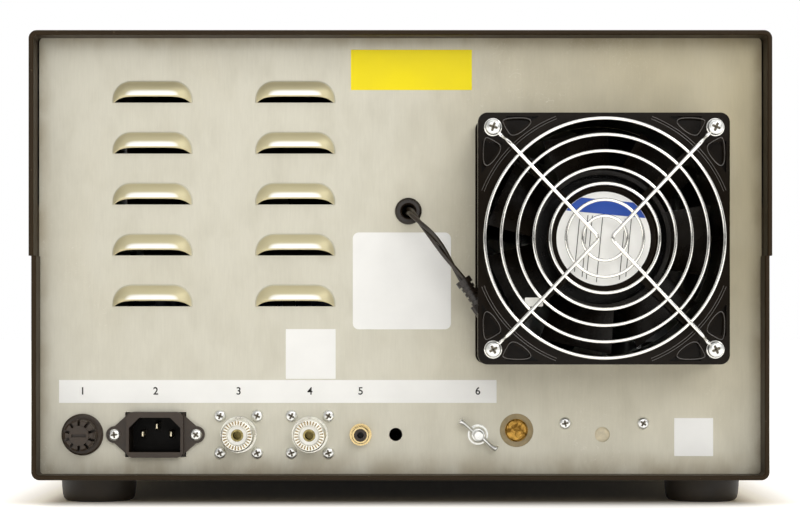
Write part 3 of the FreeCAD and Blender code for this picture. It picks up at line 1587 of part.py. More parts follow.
def capacitor_bank():
    """Printed board on posts, with as many upright smoothing capacitors as it has room for."""
    board_low = tray_floor + s.board_lift
    board_length = board_front - board_rear
    board = block("board", s.board_left, board_rear, board_low,
                  s.board_width, board_length, s.board_gauge)
    inset = s.board_post_radius * 2
    posts = [round_bar("board_post", x, y, tray_floor, s.board_post_radius, s.board_lift)
             for x in (s.board_left + inset, s.board_left + s.board_width - inset)
             for y in (board_rear + inset, board_front - inset)]
    keep(group("capacitor_board", [board] + posts))
    can = new_body("smoothing_capacitor")
    radius = s.capacitor_radius
    neck = s.capacitor_height * 0.93
    spin(can, [(0, 0), (radius, 0), (radius, neck), (radius * 0.93, neck),
               (radius * 0.93, s.capacitor_height), (0, s.capacitor_height)])
    columns = copies_that_fit(s.board_width - 2 * s.capacitor_side, s.capacitor_pitch_x)
    rows = copies_that_fit(board_length - 2 * s.capacitor_edge, s.capacitor_pitch_y)
    spots = [(s.board_left + s.capacitor_side + s.capacitor_pitch_x * i,
              board_rear + s.capacitor_edge + s.capacitor_pitch_y * j,
              board_low + s.board_gauge) for i in range(columns) for j in range(rows)]
    keep(group("capacitor_bank", copies("capacitor_copy", can, spots)))


def valve_deck():
    """Raised inner chassis, a folded channel that stands on the tray."""
    body = new_body("valve_deck")
    right = tray_half - s.tray_gauge - s.deck_right_gap
    gauge = s.deck_gauge
    channel = [
        (s.deck_left, tray_floor),
        (s.deck_left, deck_top, gauge),
        (right, deck_top, gauge),
        (right, tray_floor),
        (right - gauge, tray_floor),
        (right - gauge, deck_top - gauge),
        (s.deck_left + gauge, deck_top - gauge),
        (s.deck_left + gauge, tray_floor),
    ]
    length = front_inside - s.deck_front_gap - deck_rear
    raise_up(body, new_sketch(body, "XZ_Plane", [channel], height=-deck_rear), length, back=True)
    holes = [(x, y, s.valve_socket_radius - s.valve_socket_lip) for x, y in valve_places]
    cut_in(body, new_sketch(body, "XY_Plane", circles=holes, height=deck_top), gauge)
    keep(body)


def valves():
    """Two glass power valves, each in a ring socket and with a cooling clip on its top cap."""
    socket = new_body("valve_socket")
    bore = s.valve_base_radius + s.valve_seat_gap
    low = deck_top - s.valve_socket_depth
    barrel = s.valve_socket_radius - s.valve_socket_lip - s.hole_gap
    spin(socket, [
        (0, low),
        (barrel, low),
        (barrel, deck_top),
        (s.valve_socket_radius, deck_top),
        (s.valve_socket_radius, deck_top + s.valve_socket_lip),
        (bore, deck_top + s.valve_socket_lip),
        (bore, low + s.valve_socket_lip),
        (0, low + s.valve_socket_lip),
    ])
    base = new_body("valve_base")
    seat = low + s.valve_socket_lip
    neck = seat + s.valve_base_height
    spin(base, [(0, seat), (s.valve_base_radius, seat), (s.valve_base_radius, neck), (0, neck)])
    glass = new_body("valve_envelope")
    crown = neck + s.valve_height
    wide = s.valve_radius
    spin(glass, [
        (0, neck),
        (s.valve_base_radius * 0.95, neck),
        (wide, neck + wide * 0.4),
        (wide, crown - wide * 0.75),
        (wide * 0.85, crown - wide * 0.3),
        (wide * 0.4, crown),
        (0, crown),
    ])
    cap_top = crown + s.valve_cap_height
    spin(base, [(0, crown), (s.valve_cap_radius, crown), (s.valve_cap_radius, cap_top), (0, cap_top)])
    clip = new_body("anode_clip")
    grip = s.valve_cap_radius + s.shaft_gap
    fin = s.anode_clip_radius
    step = s.anode_clip_height / 5
    outline = [(grip, crown), (fin, crown)]
    for number in range(1, 5):
        radius = fin if number % 2 == 0 else fin * 0.72
        last = fin if number % 2 == 1 else fin * 0.72
        outline += [(last, crown + step * number), (radius, crown + step * number)]
    outline += [(fin, crown + s.anode_clip_height), (0, crown + s.anode_clip_height),
                (0, cap_top), (grip, cap_top)]
    spin(clip, outline)
    spots = [(x, y, 0) for x, y in valve_places]
    keep(group("valve_sockets", copies("valve_socket_copy", socket, spots)))
    bulbs = copies("valve_base_copy", base, spots) + copies("valve_envelope_copy", glass, spots)
    keep(group("valves", bulbs))
    keep(group("anode_clips", copies("anode_clip_copy", clip, spots)))


def antenna_relay():
    """Sealed relay block on the tray behind the two sockets."""
    relay = block("antenna_relay", s.relay_x - s.relay_width / 2, relay_rear,
                  tray_floor, s.relay_width, s.relay_depth, s.relay_height)
    keep(relay)


def tank_coil():
    """Output coil on a ceramic tube, its turns drawn as ridges, with a foot at each end."""
    coil = new_body("tank_coil")
    core = s.coil_core_radius
    outline = [(core, 0), (core, s.coil_pitch / 2)]
    for number in range(int(float(s.coil_turns))):
        low = s.coil_pitch / 2 + s.coil_pitch * number
        outline += [(s.coil_radius, low + s.coil_wire / 2), (core, low + s.coil_wire)]
        if number < int(float(s.coil_turns)) - 1:
            outline.append((core, low + s.coil_pitch))
    length = s.coil_pitch * (s.coil_turns + 1)
    outline += [(core, length), (core - s.coil_core_wall, length), (core - s.coil_core_wall, 0)]
    spin(coil, outline)
    lift = s.coil_lift + s.coil_radius
    foot = s.coil_wire * 0.8
    stand = [(-core / 2, core - s.coil_core_wall / 2), (core / 2, core - s.coil_core_wall / 2),
             (core / 2, lift), (-core / 2, lift)]
    for low in (0, length - foot):
        legs = new_sketch(coil, "XY_Plane", [stand], height=low)
        raise_up(coil, legs, foot)
    spin_away(coil, [(0, -foot), (core - s.coil_core_wall, -foot),
                     (core - s.coil_core_wall, length + foot), (0, length + foot)])
    rear = valve_y + s.valve_radius + s.coil_valve_gap
    keep(place(coil, s.coil_x, rear, deck_top + lift, OUT_OF_FRONT))


def shaft_reach(rear_y):
    """From a place inside to the end of a shaft within its knob."""
    return front_face + s.knob_bore_depth - rear_y


def variable_capacitors():
    """The tuning and the loading capacitor side by side on the deck."""
    tune = variable_capacitor("tune", s.tune_x, s.tune_vanes)
    load = variable_capacitor("load", s.load_x, s.load_vanes)
    keep(group("capacitor_stators", [tune, load]))


def variable_capacitor(name, x, vanes):
    """Fixed and turning vanes that interleave; the axis is level and runs to the front panel."""
    end = s.vane_end_gauge
    count = int(float(vanes))
    length = s.vane_first * 2 + s.vane_pitch * vanes
    rear = front_inside - s.vane_frame_front_gap - length
    half = s.vane_frame_width / 2
    bore = s.shaft_radius + s.shaft_gap
    foot = s.capacitor_axis_z - deck_top
    stator = new_body(name + "_stator")
    plate = [(-half, -half), (half, -half), (half, foot), (-half, foot)]
    for low in (0, length - end):
        raise_up(stator, new_sketch(stator, "XY_Plane", [plate], [(0, 0, bore)], low), end)
    rods = [(side * s.vane_radius, s.vane_radius * 1.05, s.shaft_radius * 0.7) for side in (-1, 1)]
    raise_up(stator, new_sketch(stator, "XY_Plane", circles=rods), length)
    wide = s.vane_stator_depth
    vane = [(-wide, 0), (wide, 0), (wide, wide * 1.1), (-wide, wide * 1.1)]
    clear = s.vane_hub_radius + s.vane_gauge * 2
    notch = [(-clear, -1), (clear, -1), (clear, clear, clear * 0.9), (-clear, clear, clear * 0.9)]
    for number in range(count):
        low = s.vane_first + s.vane_pitch * number
        raise_up(stator, new_sketch(stator, "XY_Plane", [vane], height=low), s.vane_gauge)
        cut_in(stator, new_sketch(stator, "XY_Plane", [notch], height=low), s.vane_gauge, up=True)
    rotor = new_body(name + "_rotor")
    tail = -s.vane_end_gauge
    raise_up(rotor, new_sketch(rotor, "XY_Plane", circles=[(0, 0, s.shaft_radius)], height=tail),
             shaft_reach(rear + tail))
    hub_low = end + s.panel_shaft_gap
    hub = new_sketch(rotor, "XY_Plane", circles=[(0, 0, s.vane_hub_radius)], height=hub_low)
    raise_up(rotor, hub, length - 2 * hub_low)
    radius = s.vane_radius - s.vane_gauge
    half_disc = [(0, -radius), (radius, -radius, radius * 0.99), (radius, radius, radius * 0.99), (0, radius)]
    for number in range(count):
        low = s.vane_first + s.vane_pitch * number + s.vane_pitch / 2
        raise_up(rotor, new_sketch(rotor, "XY_Plane", [half_disc], height=low), s.vane_gauge)
    keep(place(rotor, x, rear, s.capacitor_axis_z, OUT_OF_FRONT))
    return place(stator, x, rear, s.capacitor_axis_z, OUT_OF_FRONT)


def rotary_switches():
    """The wafer switch and the small meter switch behind the panel, and the shaft of each."""
    keep(group("rotary_switches", [band_switch(), meter_switch()]))


def band_switch():
    """Three ceramic wafers on two rods, and the shaft that turns in them."""
    body = new_body("band_switch")
    gauge = s.band_wafer_gauge
    plate = rectangle(s.band_plate_side, s.band_plate_side)
    bore = s.shaft_radius + s.shaft_gap
    raise_up(body, new_sketch(body, "XY_Plane", [plate], [(0, 0, bore)], -gauge), gauge)
    length = s.band_wafer_pitch * 3 + gauge
    rods = [(side * s.band_radius * 0.8, 0, s.shaft_radius * 0.6) for side in (-1, 1)]
    raise_up(body, new_sketch(body, "XY_Plane", circles=rods, height=-length), length)
    for number in range(1, 4):
        wafer = [(0, 0, s.band_radius), (0, 0, bore)]
        low = -(s.band_wafer_pitch * number + gauge)
        raise_up(body, new_sketch(body, "XY_Plane", circles=wafer, height=low), gauge)
    rear = front_inside - length - gauge
    keep(round_bar("band_shaft", s.band_x, rear, s.band_z, s.shaft_radius,
                   shaft_reach(rear), OUT_OF_FRONT))
    return place(body, s.band_x, front_inside, s.band_z, OUT_OF_FRONT)


def meter_switch():
    """Closed round switch with a blind bore, and its shaft."""
    body = new_body("meter_switch")
    depth = s.meter_switch_depth
    bore = s.shaft_radius + s.shaft_gap
    spin(body, [(0, -depth), (s.meter_switch_radius, -depth), (s.meter_switch_radius, 0), (bore, 0),
                (bore, -depth * 0.8), (0, -depth * 0.8)])
    rear = front_inside - depth * 0.8
    keep(round_bar("meter_shaft", s.meter_switch_x, rear, s.meter_switch_z, s.shaft_radius,
                   shaft_reach(rear), OUT_OF_FRONT))
    return place(body, s.meter_switch_x, front_inside, s.meter_switch_z, OUT_OF_FRONT)


def knob(label, x, z, radius):
    """Fluted knob with a plain skirt, bored from behind for its shaft."""
    body = new_body(label)
    low = s.knob_gap
    skirt = low + s.knob_skirt_height
    top = low + s.knob_reach
    grip = radius - s.knob_taper
    spin(body, [
        (0, low),
        (radius, low),
        (radius, skirt - s.knob_edge),
        (radius - s.knob_edge, skirt),
        (grip, skirt),
        (grip - s.knob_edge * 0.6, top - s.knob_edge),
        (grip - s.knob_edge * 1.6, top),
        (0, top),
    ])
    flute = s.knob_flute_radius * radius / s.large_knob_radius
    circle = [(grip + flute * 0.5, 0, flute)]
    cut = cut_in(body, new_sketch(body, "XY_Plane", circles=circle, height=top), top - skirt)
    repeat_round(body, [cut], s.knob_flutes)
    bore = [(0, 0, s.shaft_radius + s.shaft_gap)]
    cut_in(body, new_sketch(body, "XY_Plane", circles=bore, height=low), s.knob_bore_depth, up=True)
    keep(on_front(body, x, z))


def meters():
    """Two panel meters: case, clear window and a needle on its own pivot."""
    case = new_body("meter_case")
    proud = s.meter_proud
    outer = rectangle(s.meter_width, s.meter_height, corner=s.meter_wall / 2)
    raise_up(case, new_sketch(case, "XY_Plane", [outer]), proud)
    back = -s.meter_body_depth
    raise_up(case, new_sketch(case, "XY_Plane", circles=[(0, 0, s.meter_body_radius)], height=back),
             s.meter_body_depth + s.meter_floor / 2)
    width = s.meter_width - 2 * s.meter_wall
    height = s.meter_height - 2 * s.meter_wall
    cut_in(case, new_sketch(case, "XY_Plane", [rectangle(width, height)], height=proud),
           proud - s.meter_floor)
    pin = [(0, s.needle_pivot_drop, s.needle_hub / 3)]
    pin_top = s.meter_floor + (proud - s.meter_floor - s.window_gauge) * 0.7
    raise_up(case, new_sketch(case, "XY_Plane", circles=pin), pin_top)
    spots = [(x, front_face, s.meter_z) for x in (s.meter_left_x, s.meter_right_x)]
    keep(group("meter_cases", copies("meter_case_copy", case, spots, OUT_OF_FRONT)))
    window = new_body("meter_window")
    pane = rectangle(width - s.hole_gap * 2, height - s.hole_gap * 2)
    raise_up(window, new_sketch(window, "XY_Plane", [pane], height=proud - s.window_gauge), s.window_gauge)
    keep(group("meter_windows", copies("meter_window_copy", window, spots, OUT_OF_FRONT)))
    for label, x in (("plate_needle", s.meter_left_x), ("grid_needle", s.meter_right_x)):
        needle(label, x, (s.meter_floor + pin_top) / 2)


def needle(label, x, height):
    """Thin pointer with a round hub, resting at the left end of its dial."""
    body = new_body(label)
    gauge = s.needle_gauge
    hub = s.needle_hub
    bore = s.needle_hub / 3 + s.shaft_gap
    spin(body, [(bore, height - gauge), (hub, height - gauge), (hub, height + gauge), (bore, height + gauge)])
    half = s.needle_width / 2
    blade = [(-half, -s.needle_length), (half, -s.needle_length), (half, -hub * 0.8), (-half, -hub * 0.8)]
    raise_up(body, new_sketch(body, "XY_Plane", [blade], height=height - gauge / 2), gauge)
    turned = OUT_OF_FRONT.multiply(Rotation(Vector(0, 0, 1), float(s.needle_swing)))
    keep(place(body, x, front_face, s.meter_z - s.needle_pivot_drop, turned))


def rocker(label, x):
    """Dished rocker on two pivot pins, resting with its lower half pressed in."""
    body = new_body(label)
    half = s.rocker_height / 2
    outline = [(-half, -s.rocker_skirt), (half, -s.rocker_skirt), (half, s.rocker_proud),
               (0, s.rocker_proud - s.rocker_dish), (-half, s.rocker_proud)]
    raise_up(body, new_sketch(body, "YZ_Plane", [outline]), s.rocker_width, both=True)
    pins = new_sketch(body, "YZ_Plane", circles=[(0, 0, s.rocker_pin_radius)])
    raise_up(body, pins, s.rocker_width + 2 * s.rocker_pin_length, both=True)
    tilted = Rotation(Vector(1, 0, 0), -90 - float(s.rocker_tilt))
    keep(place(body, x, front_face, s.rocker_z, tilted))


def switch_bodies():
    """Open-fronted switch housings with a rim on the panel and bearings for the rocker pins."""
    body = new_body("switch_body")
    outer = rectangle(switch_width, switch_height)
    raise_up(body, new_sketch(body, "XY_Plane", [outer], height=-s.switch_depth), s.switch_depth)
    rim = rectangle(switch_width + 2 * s.switch_rim, switch_height + 2 * s.switch_rim,
                    corner=s.switch_rim / 2)
    raise_up(body, new_sketch(body, "XY_Plane", [rim]), s.switch_rim_gauge)
    inner = rectangle(s.rocker_width + 2 * s.rocker_gap, s.rocker_height + 2 * s.rocker_end_gap)
    cut_in(body, new_sketch(body, "XY_Plane", [inner], height=s.switch_rim_gauge),
           s.switch_rim_gauge + s.switch_cavity)
    bearing = new_sketch(body, "YZ_Plane", circles=[(0, 0, s.rocker_pin_radius + s.shaft_gap)])
    cut_in(body, bearing, s.rocker_width + 2 * s.rocker_pin_length + s.rocker_gap, both=True)
    spots = [(x, front_face, s.rocker_z) for x in (s.power_x, s.operate_x)]
    keep(group("switch_bodies", copies("switch_body_copy", body, spots, OUT_OF_FRONT)))


def pilot_lamps():
    """Three domed lamps in a row."""
    body = new_body("pilot_lamp")
    spin(body, [
        (0, -s.lamp_depth),
        (s.lamp_radius, -s.lamp_depth),
        (s.lamp_radius, 0),
        (s.lamp_rim, 0),
        (s.lamp_rim, s.lamp_proud * 0.3),
        (s.lamp_radius, s.lamp_proud * 0.3),
        (s.lamp_radius * 0.7, s.lamp_proud * 0.8),
        (0, s.lamp_proud),
    ])
    spots = [(x, front_face, s.lamp_z) for x in lamp_places]
    keep(group("pilot_lamps", copies("pilot_lamp_copy", body, spots, OUT_OF_FRONT)))


def check_and_export():
    """Recompute, test every object and sub-part, and only then write the files."""
    doc.recompute()
    faults = []
    for item in doc.Objects:
        if "Invalid" in item.State or "Error" in item.State:
            faults.append("%s (%s): %s" % (item.Name, item.Label, item.State))
    for item in sub_parts:
        if item.Shape.isNull() or not item.Shape.isValid() or not item.Shape.Solids:
            faults.append("%s has no valid solid" % item.Label)
    if faults:
        raise RuntimeError("; ".join(faults))
    os.makedirs("parts", exist_ok=True)
    for item in sub_parts:
        item.Shape.exportStep("parts/%s.step" % item.Label)
        print("%-22s %2d solids %10.1f mm3" % (item.Label, len(item.Shape.Solids), item.Shape.Volume))


def build_case():
    upper_cover()
    lower_cover()
    rubber_feet()
    chassis_tray()
    case_screws()
    rear_panel()
    front_panel()


def build_fan():
    fan_frame()
    fan_spider()
    fan_impeller()
    finger_guard()
    fan_screws()
    cable_grommet()
    fan_plug()
    fan_lead()


def build_rear_fittings():
    fuse_holder()
    fuse_cap()
    fuse_link()
    inlet_housing()
    inlet_pins()
    coaxial_socket("rf_input_socket", s.input_x)
    coaxial_socket("rf_output_socket", s.output_x)
    socket_insulators()
    socket_contacts()
    panel_screws()
    phono_socket()
    phono_insulator()
    earth_stud()
    earth_washer()
    wing_nut()
    access_bracket()
    brass_bush()


def build_inside():
    transformer()
    capacitor_bank()
    valve_deck()
    valves()
    antenna_relay()
    tank_coil()
    variable_capacitors()
    rotary_switches()


def build_front():
    knob("tune_knob", s.tune_x, s.capacitor_axis_z, s.large_knob_radius)
    knob("load_knob", s.load_x, s.capacitor_axis_z, s.large_knob_radius)
    knob("band_knob", s.band_x, s.band_z, s.large_knob_radius)
    knob("meter_knob", s.meter_switch_x, s.meter_switch_z, s.small_knob_radius)
    meters()
    rocker("power_rocker", s.power_x)
    rocker("operate_rocker", s.operate_x)
    switch_bodies()
    pilot_lamps()


build_case()
build_fan()
build_rear_fittings()
build_inside()
build_front()
check_and_export()
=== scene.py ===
import math

import bmesh
import bpy
import numpy as np
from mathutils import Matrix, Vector


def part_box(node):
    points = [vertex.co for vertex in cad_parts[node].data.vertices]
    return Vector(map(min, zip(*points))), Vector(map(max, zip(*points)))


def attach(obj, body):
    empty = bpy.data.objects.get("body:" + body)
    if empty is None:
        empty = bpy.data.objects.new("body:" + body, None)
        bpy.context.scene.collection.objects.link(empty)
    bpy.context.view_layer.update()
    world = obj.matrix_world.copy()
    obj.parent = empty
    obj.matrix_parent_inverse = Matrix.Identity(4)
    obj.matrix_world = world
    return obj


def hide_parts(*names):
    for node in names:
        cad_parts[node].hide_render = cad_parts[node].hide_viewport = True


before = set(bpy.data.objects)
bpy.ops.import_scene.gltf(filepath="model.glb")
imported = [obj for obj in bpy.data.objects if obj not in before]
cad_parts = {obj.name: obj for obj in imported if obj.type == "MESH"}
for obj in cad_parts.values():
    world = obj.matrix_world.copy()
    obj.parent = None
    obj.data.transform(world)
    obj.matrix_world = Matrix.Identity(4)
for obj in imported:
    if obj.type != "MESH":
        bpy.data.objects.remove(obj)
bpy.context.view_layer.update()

bl_info = {
    "name": "Linear amplifier looks",
    "version": (1, 0, 0),
    "blender": (4, 5, 0),
    "location": "View3D > Sidebar > Amplifier",
    "description": "Finishes, labels, fasteners and stage for a desktop linear amplifier",
    "category": "Object",
}

MM = 0.001
# The outer faces of the two panels, from the nodes that stand on them.
REAR_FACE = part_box("fan_frame")[1].y
FRONT_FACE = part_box("front_panel")[1].y
SOCKETS_X = (-79.4 * MM, -44.4 * MM)
INLET_X = -120.1 * MM
EARTH_X = 38.0 * MM
QUADRANTS = ((1, 1), (-1, 1), (-1, -1), (1, -1))


# ---- sizes and colours that a user would change ----

def length(label, about, millimetres):
    """A length property, given in millimetres and kept in metres."""
    return bpy.props.FloatProperty(name=label, description=about, default=millimetres * MM,
                                   precision=5, unit="LENGTH")


def linear(code):
    """An sRGB hex value as linear red, green, blue and full alpha."""
    parts = np.array([int(code[start:start + 2], 16) for start in (1, 3, 5)]) / 255
    curve = ((parts + 0.055) / 1.055) ** 2.4
    return (*np.where(parts <= 0.04045, parts / 12.92, curve).tolist(), 1.0)


def colour(label, about, code):
    return bpy.props.FloatVectorProperty(name=label, description=about, default=linear(code),
                                         size=4, subtype="COLOR", min=0, max=1)


class AMPLIFIER_PG_sizes(bpy.types.PropertyGroup):
    fan_x: length("Fan across", "Fan's middle, across the rear panel", 96.1)
    fan_z: length("Fan height", "Fan's middle above the table", 128.5)
    guard_first_ring: length("First ring", "Radius of the guard's smallest ring", 10.5)
    guard_pitch: length("Ring pitch", "Step in radius from ring to ring", 7.65)
    guard_ring_wire: length("Ring wire", "Thickness of the guard's rings", 1.6)
    guard_spoke_wire: length("Spoke wire", "Thickness of the guard's spokes", 1.9)
    connector_z: length("Connector height", "Height of the row of connectors", 34.0)
    thread_pitch: length("Thread pitch", "Pitch of the thread on both coaxial sockets", 1.058)
    ring_notches: bpy.props.IntProperty(name="Ring notches", default=28, min=8,
                                        description="Notches round the face of a coaxial socket")
    label_gauge: length("Label thickness", "Thickness of the vinyl labels", 0.12)
    numeral_height: length("Numeral height", "Height of the numbers on the strip", 3.7)
    lead_diameter: length("Lead diameter", "Width over the two twisted wires", 4.2)
    lead_length: length("Lead length", "The lead's whole length", 56.5)
    lead_twist: length("Lead twist", "Length of one whole twist of the two wires", 54.0)
    wing_turn: bpy.props.FloatProperty(name="Wing nut turn", default=math.radians(-36.0),
                                       description="How far the wings are turned from level",
                                       subtype="ANGLE")


class AMPLIFIER_PG_colours(bpy.types.PropertyGroup):
    case: colour("Case", "Satin paint on the folded case", "#302517")
    panel: colour("Panel", "Aluminium of the rear panel where it is clean", "#d6d2c2")
    panel_warm: colour("Panel, aged", "The same metal where it has yellowed", "#c2b798")
    label_white: colour("White label", "White vinyl", "#f8f7f3")
    label_yellow: colour("Yellow label", "Yellow vinyl", "#fde700")
    lead: colour("Lead", "Insulation of the fan's lead", "#2b2115")


# ---- surfaces: each is a grid of points, and whether its rows and its columns close on themselves ----

def full_turn(steps):
    return np.linspace(0, 2 * np.pi, steps, endpoint=False)


def unit(rows):
    return rows / np.linalg.norm(rows, axis=1)[:, None]


def across(path, reference, closed=False):
    """Two unit vectors at each point of a path, square to its direction and to each other."""
    if closed:
        along = unit(np.roll(path, -1, 0) - np.roll(path, 1, 0))
    else:
        along = unit(np.gradient(path, axis=0))
    side = unit(np.cross(along, np.asarray(reference, float)))
    return side, np.cross(side, along)


def tube(path, radius, sides=12, closed=False, reference=(0, 0, 1)):
    """A circle carried along a path: each ring lies across the path's direction there.

    An open tube starts and ends in a point, so that it is closed."""
    path = np.asarray(path, float)
    side, up = across(path, reference, closed)
    turn = full_turn(sides)[None, :, None]
    rings = path[:, None] + radius * (np.cos(turn) * side[:, None] + np.sin(turn) * up[:, None])
    if not closed:
        tips = [np.broadcast_to(tip, (1, sides, 3)) for tip in (path[0], path[-1])]
        rings = np.concatenate([tips[0], rings, tips[1]])
    return rings, closed, True


def round_grid(radius, height, turn):
    """Points (r cos a, r sin a, h), from arrays that fit together."""
    radius, height, turn = np.broadcast_arrays(radius, height, turn)
    return np.stack([radius * np.cos(turn), radius * np.sin(turn), height], -1)


def lathe(profile, steps=64):
    """A profile of (radius, height) rows, in millimetres, turned once round the third axis."""
    profile = np.array(profile, float) * MM
    return round_grid(profile[:, :1], profile[:, 1:], full_turn(steps)[None]), False, True


def circle_path(radius, height, steps, x=0.0, y=0.0):
    return round_grid(radius, height, full_turn(steps)) + (x, y, 0)


def shut_ends(grid):
    """A grid with its first and last columns drawn in to their middles."""
    ends = [np.broadcast_to(grid[:, side].mean(0), (len(grid), 1, 3)) for side in (0, -1)]
    return np.concatenate([ends[0], grid, ends[1]], 1)


def smooth_step(low, high, value):
    """Nothing below low, one above high, and 3t^2 - 2t^3 between."""
    mouth_shade = np.clip((value - low) / (high - low), 0, 1)
    return mouth_shade * mouth_shade * (3 - 2 * mouth_shade)


def rounded_plate(width, height, corner, gauge, steps=9):
    """A thin plate: a rounded outline shrunk to its middle, in front, along its edge and behind.

    The outline is four quarter circles about the inset corners, so a straight side joins each pair."""
    turn = np.linspace(0, np.pi / 2, steps)
    outline = []
    for number, (x, y) in enumerate(QUADRANTS):
        a = turn + number * np.pi / 2
        outline.append(np.stack([x * (width / 2 - corner) + corner * np.cos(a),
                                 y * (height / 2 - corner) + corner * np.sin(a)], 1))
    mouth_shade = np.array([0.0, 0.5, 1.0, 1.0, 0.0])[:, None, None]
    flat = mouth_shade * np.concatenate(outline)[None]
    level = np.array([gauge, gauge, gauge, 0.0, 0.0])[:, None, None]
    return np.concatenate([flat, np.broadcast_to(level, (*flat.shape[:2], 1))], -1), False, True


def moved(surface, offset):
    return surface[0] + offset, *surface[1:]


def turned(surface, degrees):
    """Turn a surface about its own third axis."""
    points = surface[0]
    turn = math.radians(degrees)
    x = points[..., 0] * math.cos(turn) - points[..., 1] * math.sin(turn)
    y = points[..., 0] * math.sin(turn) + points[..., 1] * math.cos(turn)
    return np.stack([x, y, points[..., 2]], -1), *surface[1:]


def on_rear(surface, x, z, height=0.0):
    """Stand a surface on the rear panel: its third axis points out of the back."""
    points = surface[0]
    placed = np.stack([x + points[..., 0], REAR_FACE - height - points[..., 2], z + points[..., 1]], -1)
    return placed, *surface[1:]


def on_front(surface, x, z, height=0.0):
    """Stand a surface on the front panel: its third axis points out of the front."""
    points = surface[0]
    placed = np.stack([x - points[..., 0], FRONT_FACE + height + points[..., 2], z + points[..., 1]], -1)
    return placed, *surface[1:]


# ---- pieces ----

def grid_faces(rows, columns, wrap_rows, wrap_columns):
    """Four-cornered faces between neighbouring grid points."""
    number = np.arange(rows * columns).reshape(rows, columns)
    if wrap_rows:
        number = np.vstack([number, number[:1]])
    if wrap_columns:
        number = np.hstack([number, number[:, :1]])
    corners = (number[:-1, :-1], number[1:, :-1], number[1:, 1:], number[:-1, 1:])
    return np.stack(corners, -1).reshape(-1, 4)


def mesh_of(name, surfaces, sharp=35.0):
    """One mesh of several grids: seams and poles merged, empty faces dropped, the rest turned
    outwards and shaded smooth up to an angle."""
    points = []
    faces = []
    count = 0
    for grid, wrap_rows, wrap_columns in surfaces:
        points.append(grid.reshape(-1, 3))
        faces.append(grid_faces(*grid.shape[:2], wrap_rows, wrap_columns) + count)
        count += len(points[-1])
    mesh = bpy.data.meshes.new(name)
    mesh.from_pydata(np.concatenate(points).tolist(), [], np.concatenate(faces).tolist())
    form = bmesh.new()
    form.from_mesh(mesh)
    bmesh.ops.remove_doubles(form, verts=form.verts, dist=2e-6)
    bmesh.ops.dissolve_degenerate(form, edges=form.edges, dist=1e-7)
    bmesh.ops.recalc_face_normals(form, faces=form.faces)
    form.to_mesh(mesh)
    form.free()
    mesh.shade_smooth()
    mesh.set_sharp_from_angle(angle=math.radians(sharp))
    return mesh


def rest_of(node, keeps):
    """A merged copy of a CAD node's mesh with only the faces whose middle passes the test.

    Its stored normals don't outlast the merging, so they go, and faces square to an axis are
    shaded flat."""
    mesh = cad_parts[node].data.copy()
    if mesh.has_custom_normals:
        mesh.attributes.remove(mesh.attributes["custom_normal"])
    form = bmesh.new()
    form.from_mesh(mesh)
    bmesh.ops.remove_doubles(form, verts=form.verts, dist=1e-6)
    gone = [face for face in form.faces if not keeps(face.calc_center_median())]
    bmesh.ops.delete(form, geom=gone, context="FACES")
    form.to_mesh(mesh)
    form.free()
    mesh.shade_smooth()
    mesh.set_sharp_from_angle(angle=math.radians(30))
    facing = np.empty(len(mesh.polygons) * 3)
    mesh.polygons.foreach_get("normal", facing)
    mesh.polygons.foreach_set("use_smooth", np.abs(facing.reshape(-1, 3)).max(1) < 0.99999)
    return mesh


def joined(name, meshes):
    """Several meshes as one."""
    form = bmesh.new()
    for mesh in meshes:
        form.from_mesh(mesh)
        bpy.data.meshes.remove(mesh)
    whole = bpy.data.meshes.new(name)
    form.to_mesh(whole)
    form.free()
    return whole


def add_piece(name, shape, made_of, stands_for=(), body="root", sharp=30):
    """Put a mesh, or the one that a list of grids makes, on its body and in its material slot."""
    finished = bpy.data.materials.get(made_of)
    if finished is None:
        raise RuntimeError("make the finishes first: there is no " + made_of)
    mesh = mesh_of(name, shape, sharp) if isinstance(shape, list) else shape
    mesh.materials.clear()
    mesh.materials.append(finished)
    piece = bpy.data.objects.new(name, mesh)
    bpy.context.scene.collection.objects.link(piece)
    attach(piece, body)
    if stands_for:
        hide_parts(*stands_for)
    return piece


def mesh_from(data):
    """The mesh of a curve or a text, which isn't kept."""
    holder = bpy.data.objects.new(data.name, data)
    bpy.context.scene.collection.objects.link(holder)
    bpy.context.view_layer.update()
    mesh = bpy.data.meshes.new_from_object(holder)
    bpy.data.objects.remove(holder)
    return mesh


def places_of(mesh):
    places = np.empty(len(mesh.vertices) * 3, np.float32)
    mesh.vertices.foreach_get("co", places)
    return places.reshape(-1, 3).astype(float)


# ---- materials ----

def add_node(tree, kind, inputs=(), **settings):
    """Add a shader node; each input, by name or in order, is a value or the socket that feeds it."""
    made = tree.nodes.new("ShaderNode" + kind)
    for name, value in settings.items():
        setattr(made, name, value)
    for name, value in inputs.items() if isinstance(inputs, dict) else enumerate(inputs):
        if isinstance(value, bpy.types.NodeSocket):
            tree.links.new(value, made.inputs[name])
        else:
            made.inputs[name].default_value = value
    return made


def between(tree, amount, low, high, at_low=0.0, at_high=1.0):
    """A value moved from one range to another and held at its ends."""
    mapped = add_node(tree, "MapRange", {
        "Value": amount, "From Min": low, "From Max": high, "To Min": at_low, "To Max": at_high})
    return mapped.outputs["Result"]


def blend_colours(tree, amount, first, second):
    """From the first colour to the second; each is a socket, a linear colour or an sRGB hex value."""
    first, second = (linear(one) if isinstance(one, str) else one for one in (first, second))
    return add_node(tree, "Mix", {0: amount, 6: first, 7: second}, data_type="RGBA").outputs[2]


def noise(tree, place, grain, stretch=(1, 1, 1), detail=3.0, distortion=0.0):
    """Noise with features about as large as the grain, in millimetres, drawn out along an axis."""
    spread = add_node(tree, "Mapping", {"Vector": place, "Scale": stretch})
    cloud = add_node(tree, "TexNoise", {
        "Vector": spread.outputs[0], "Scale": 1 / (grain * MM), "Detail": detail,
        "Distortion": distortion})
    return cloud.outputs["Fac"]


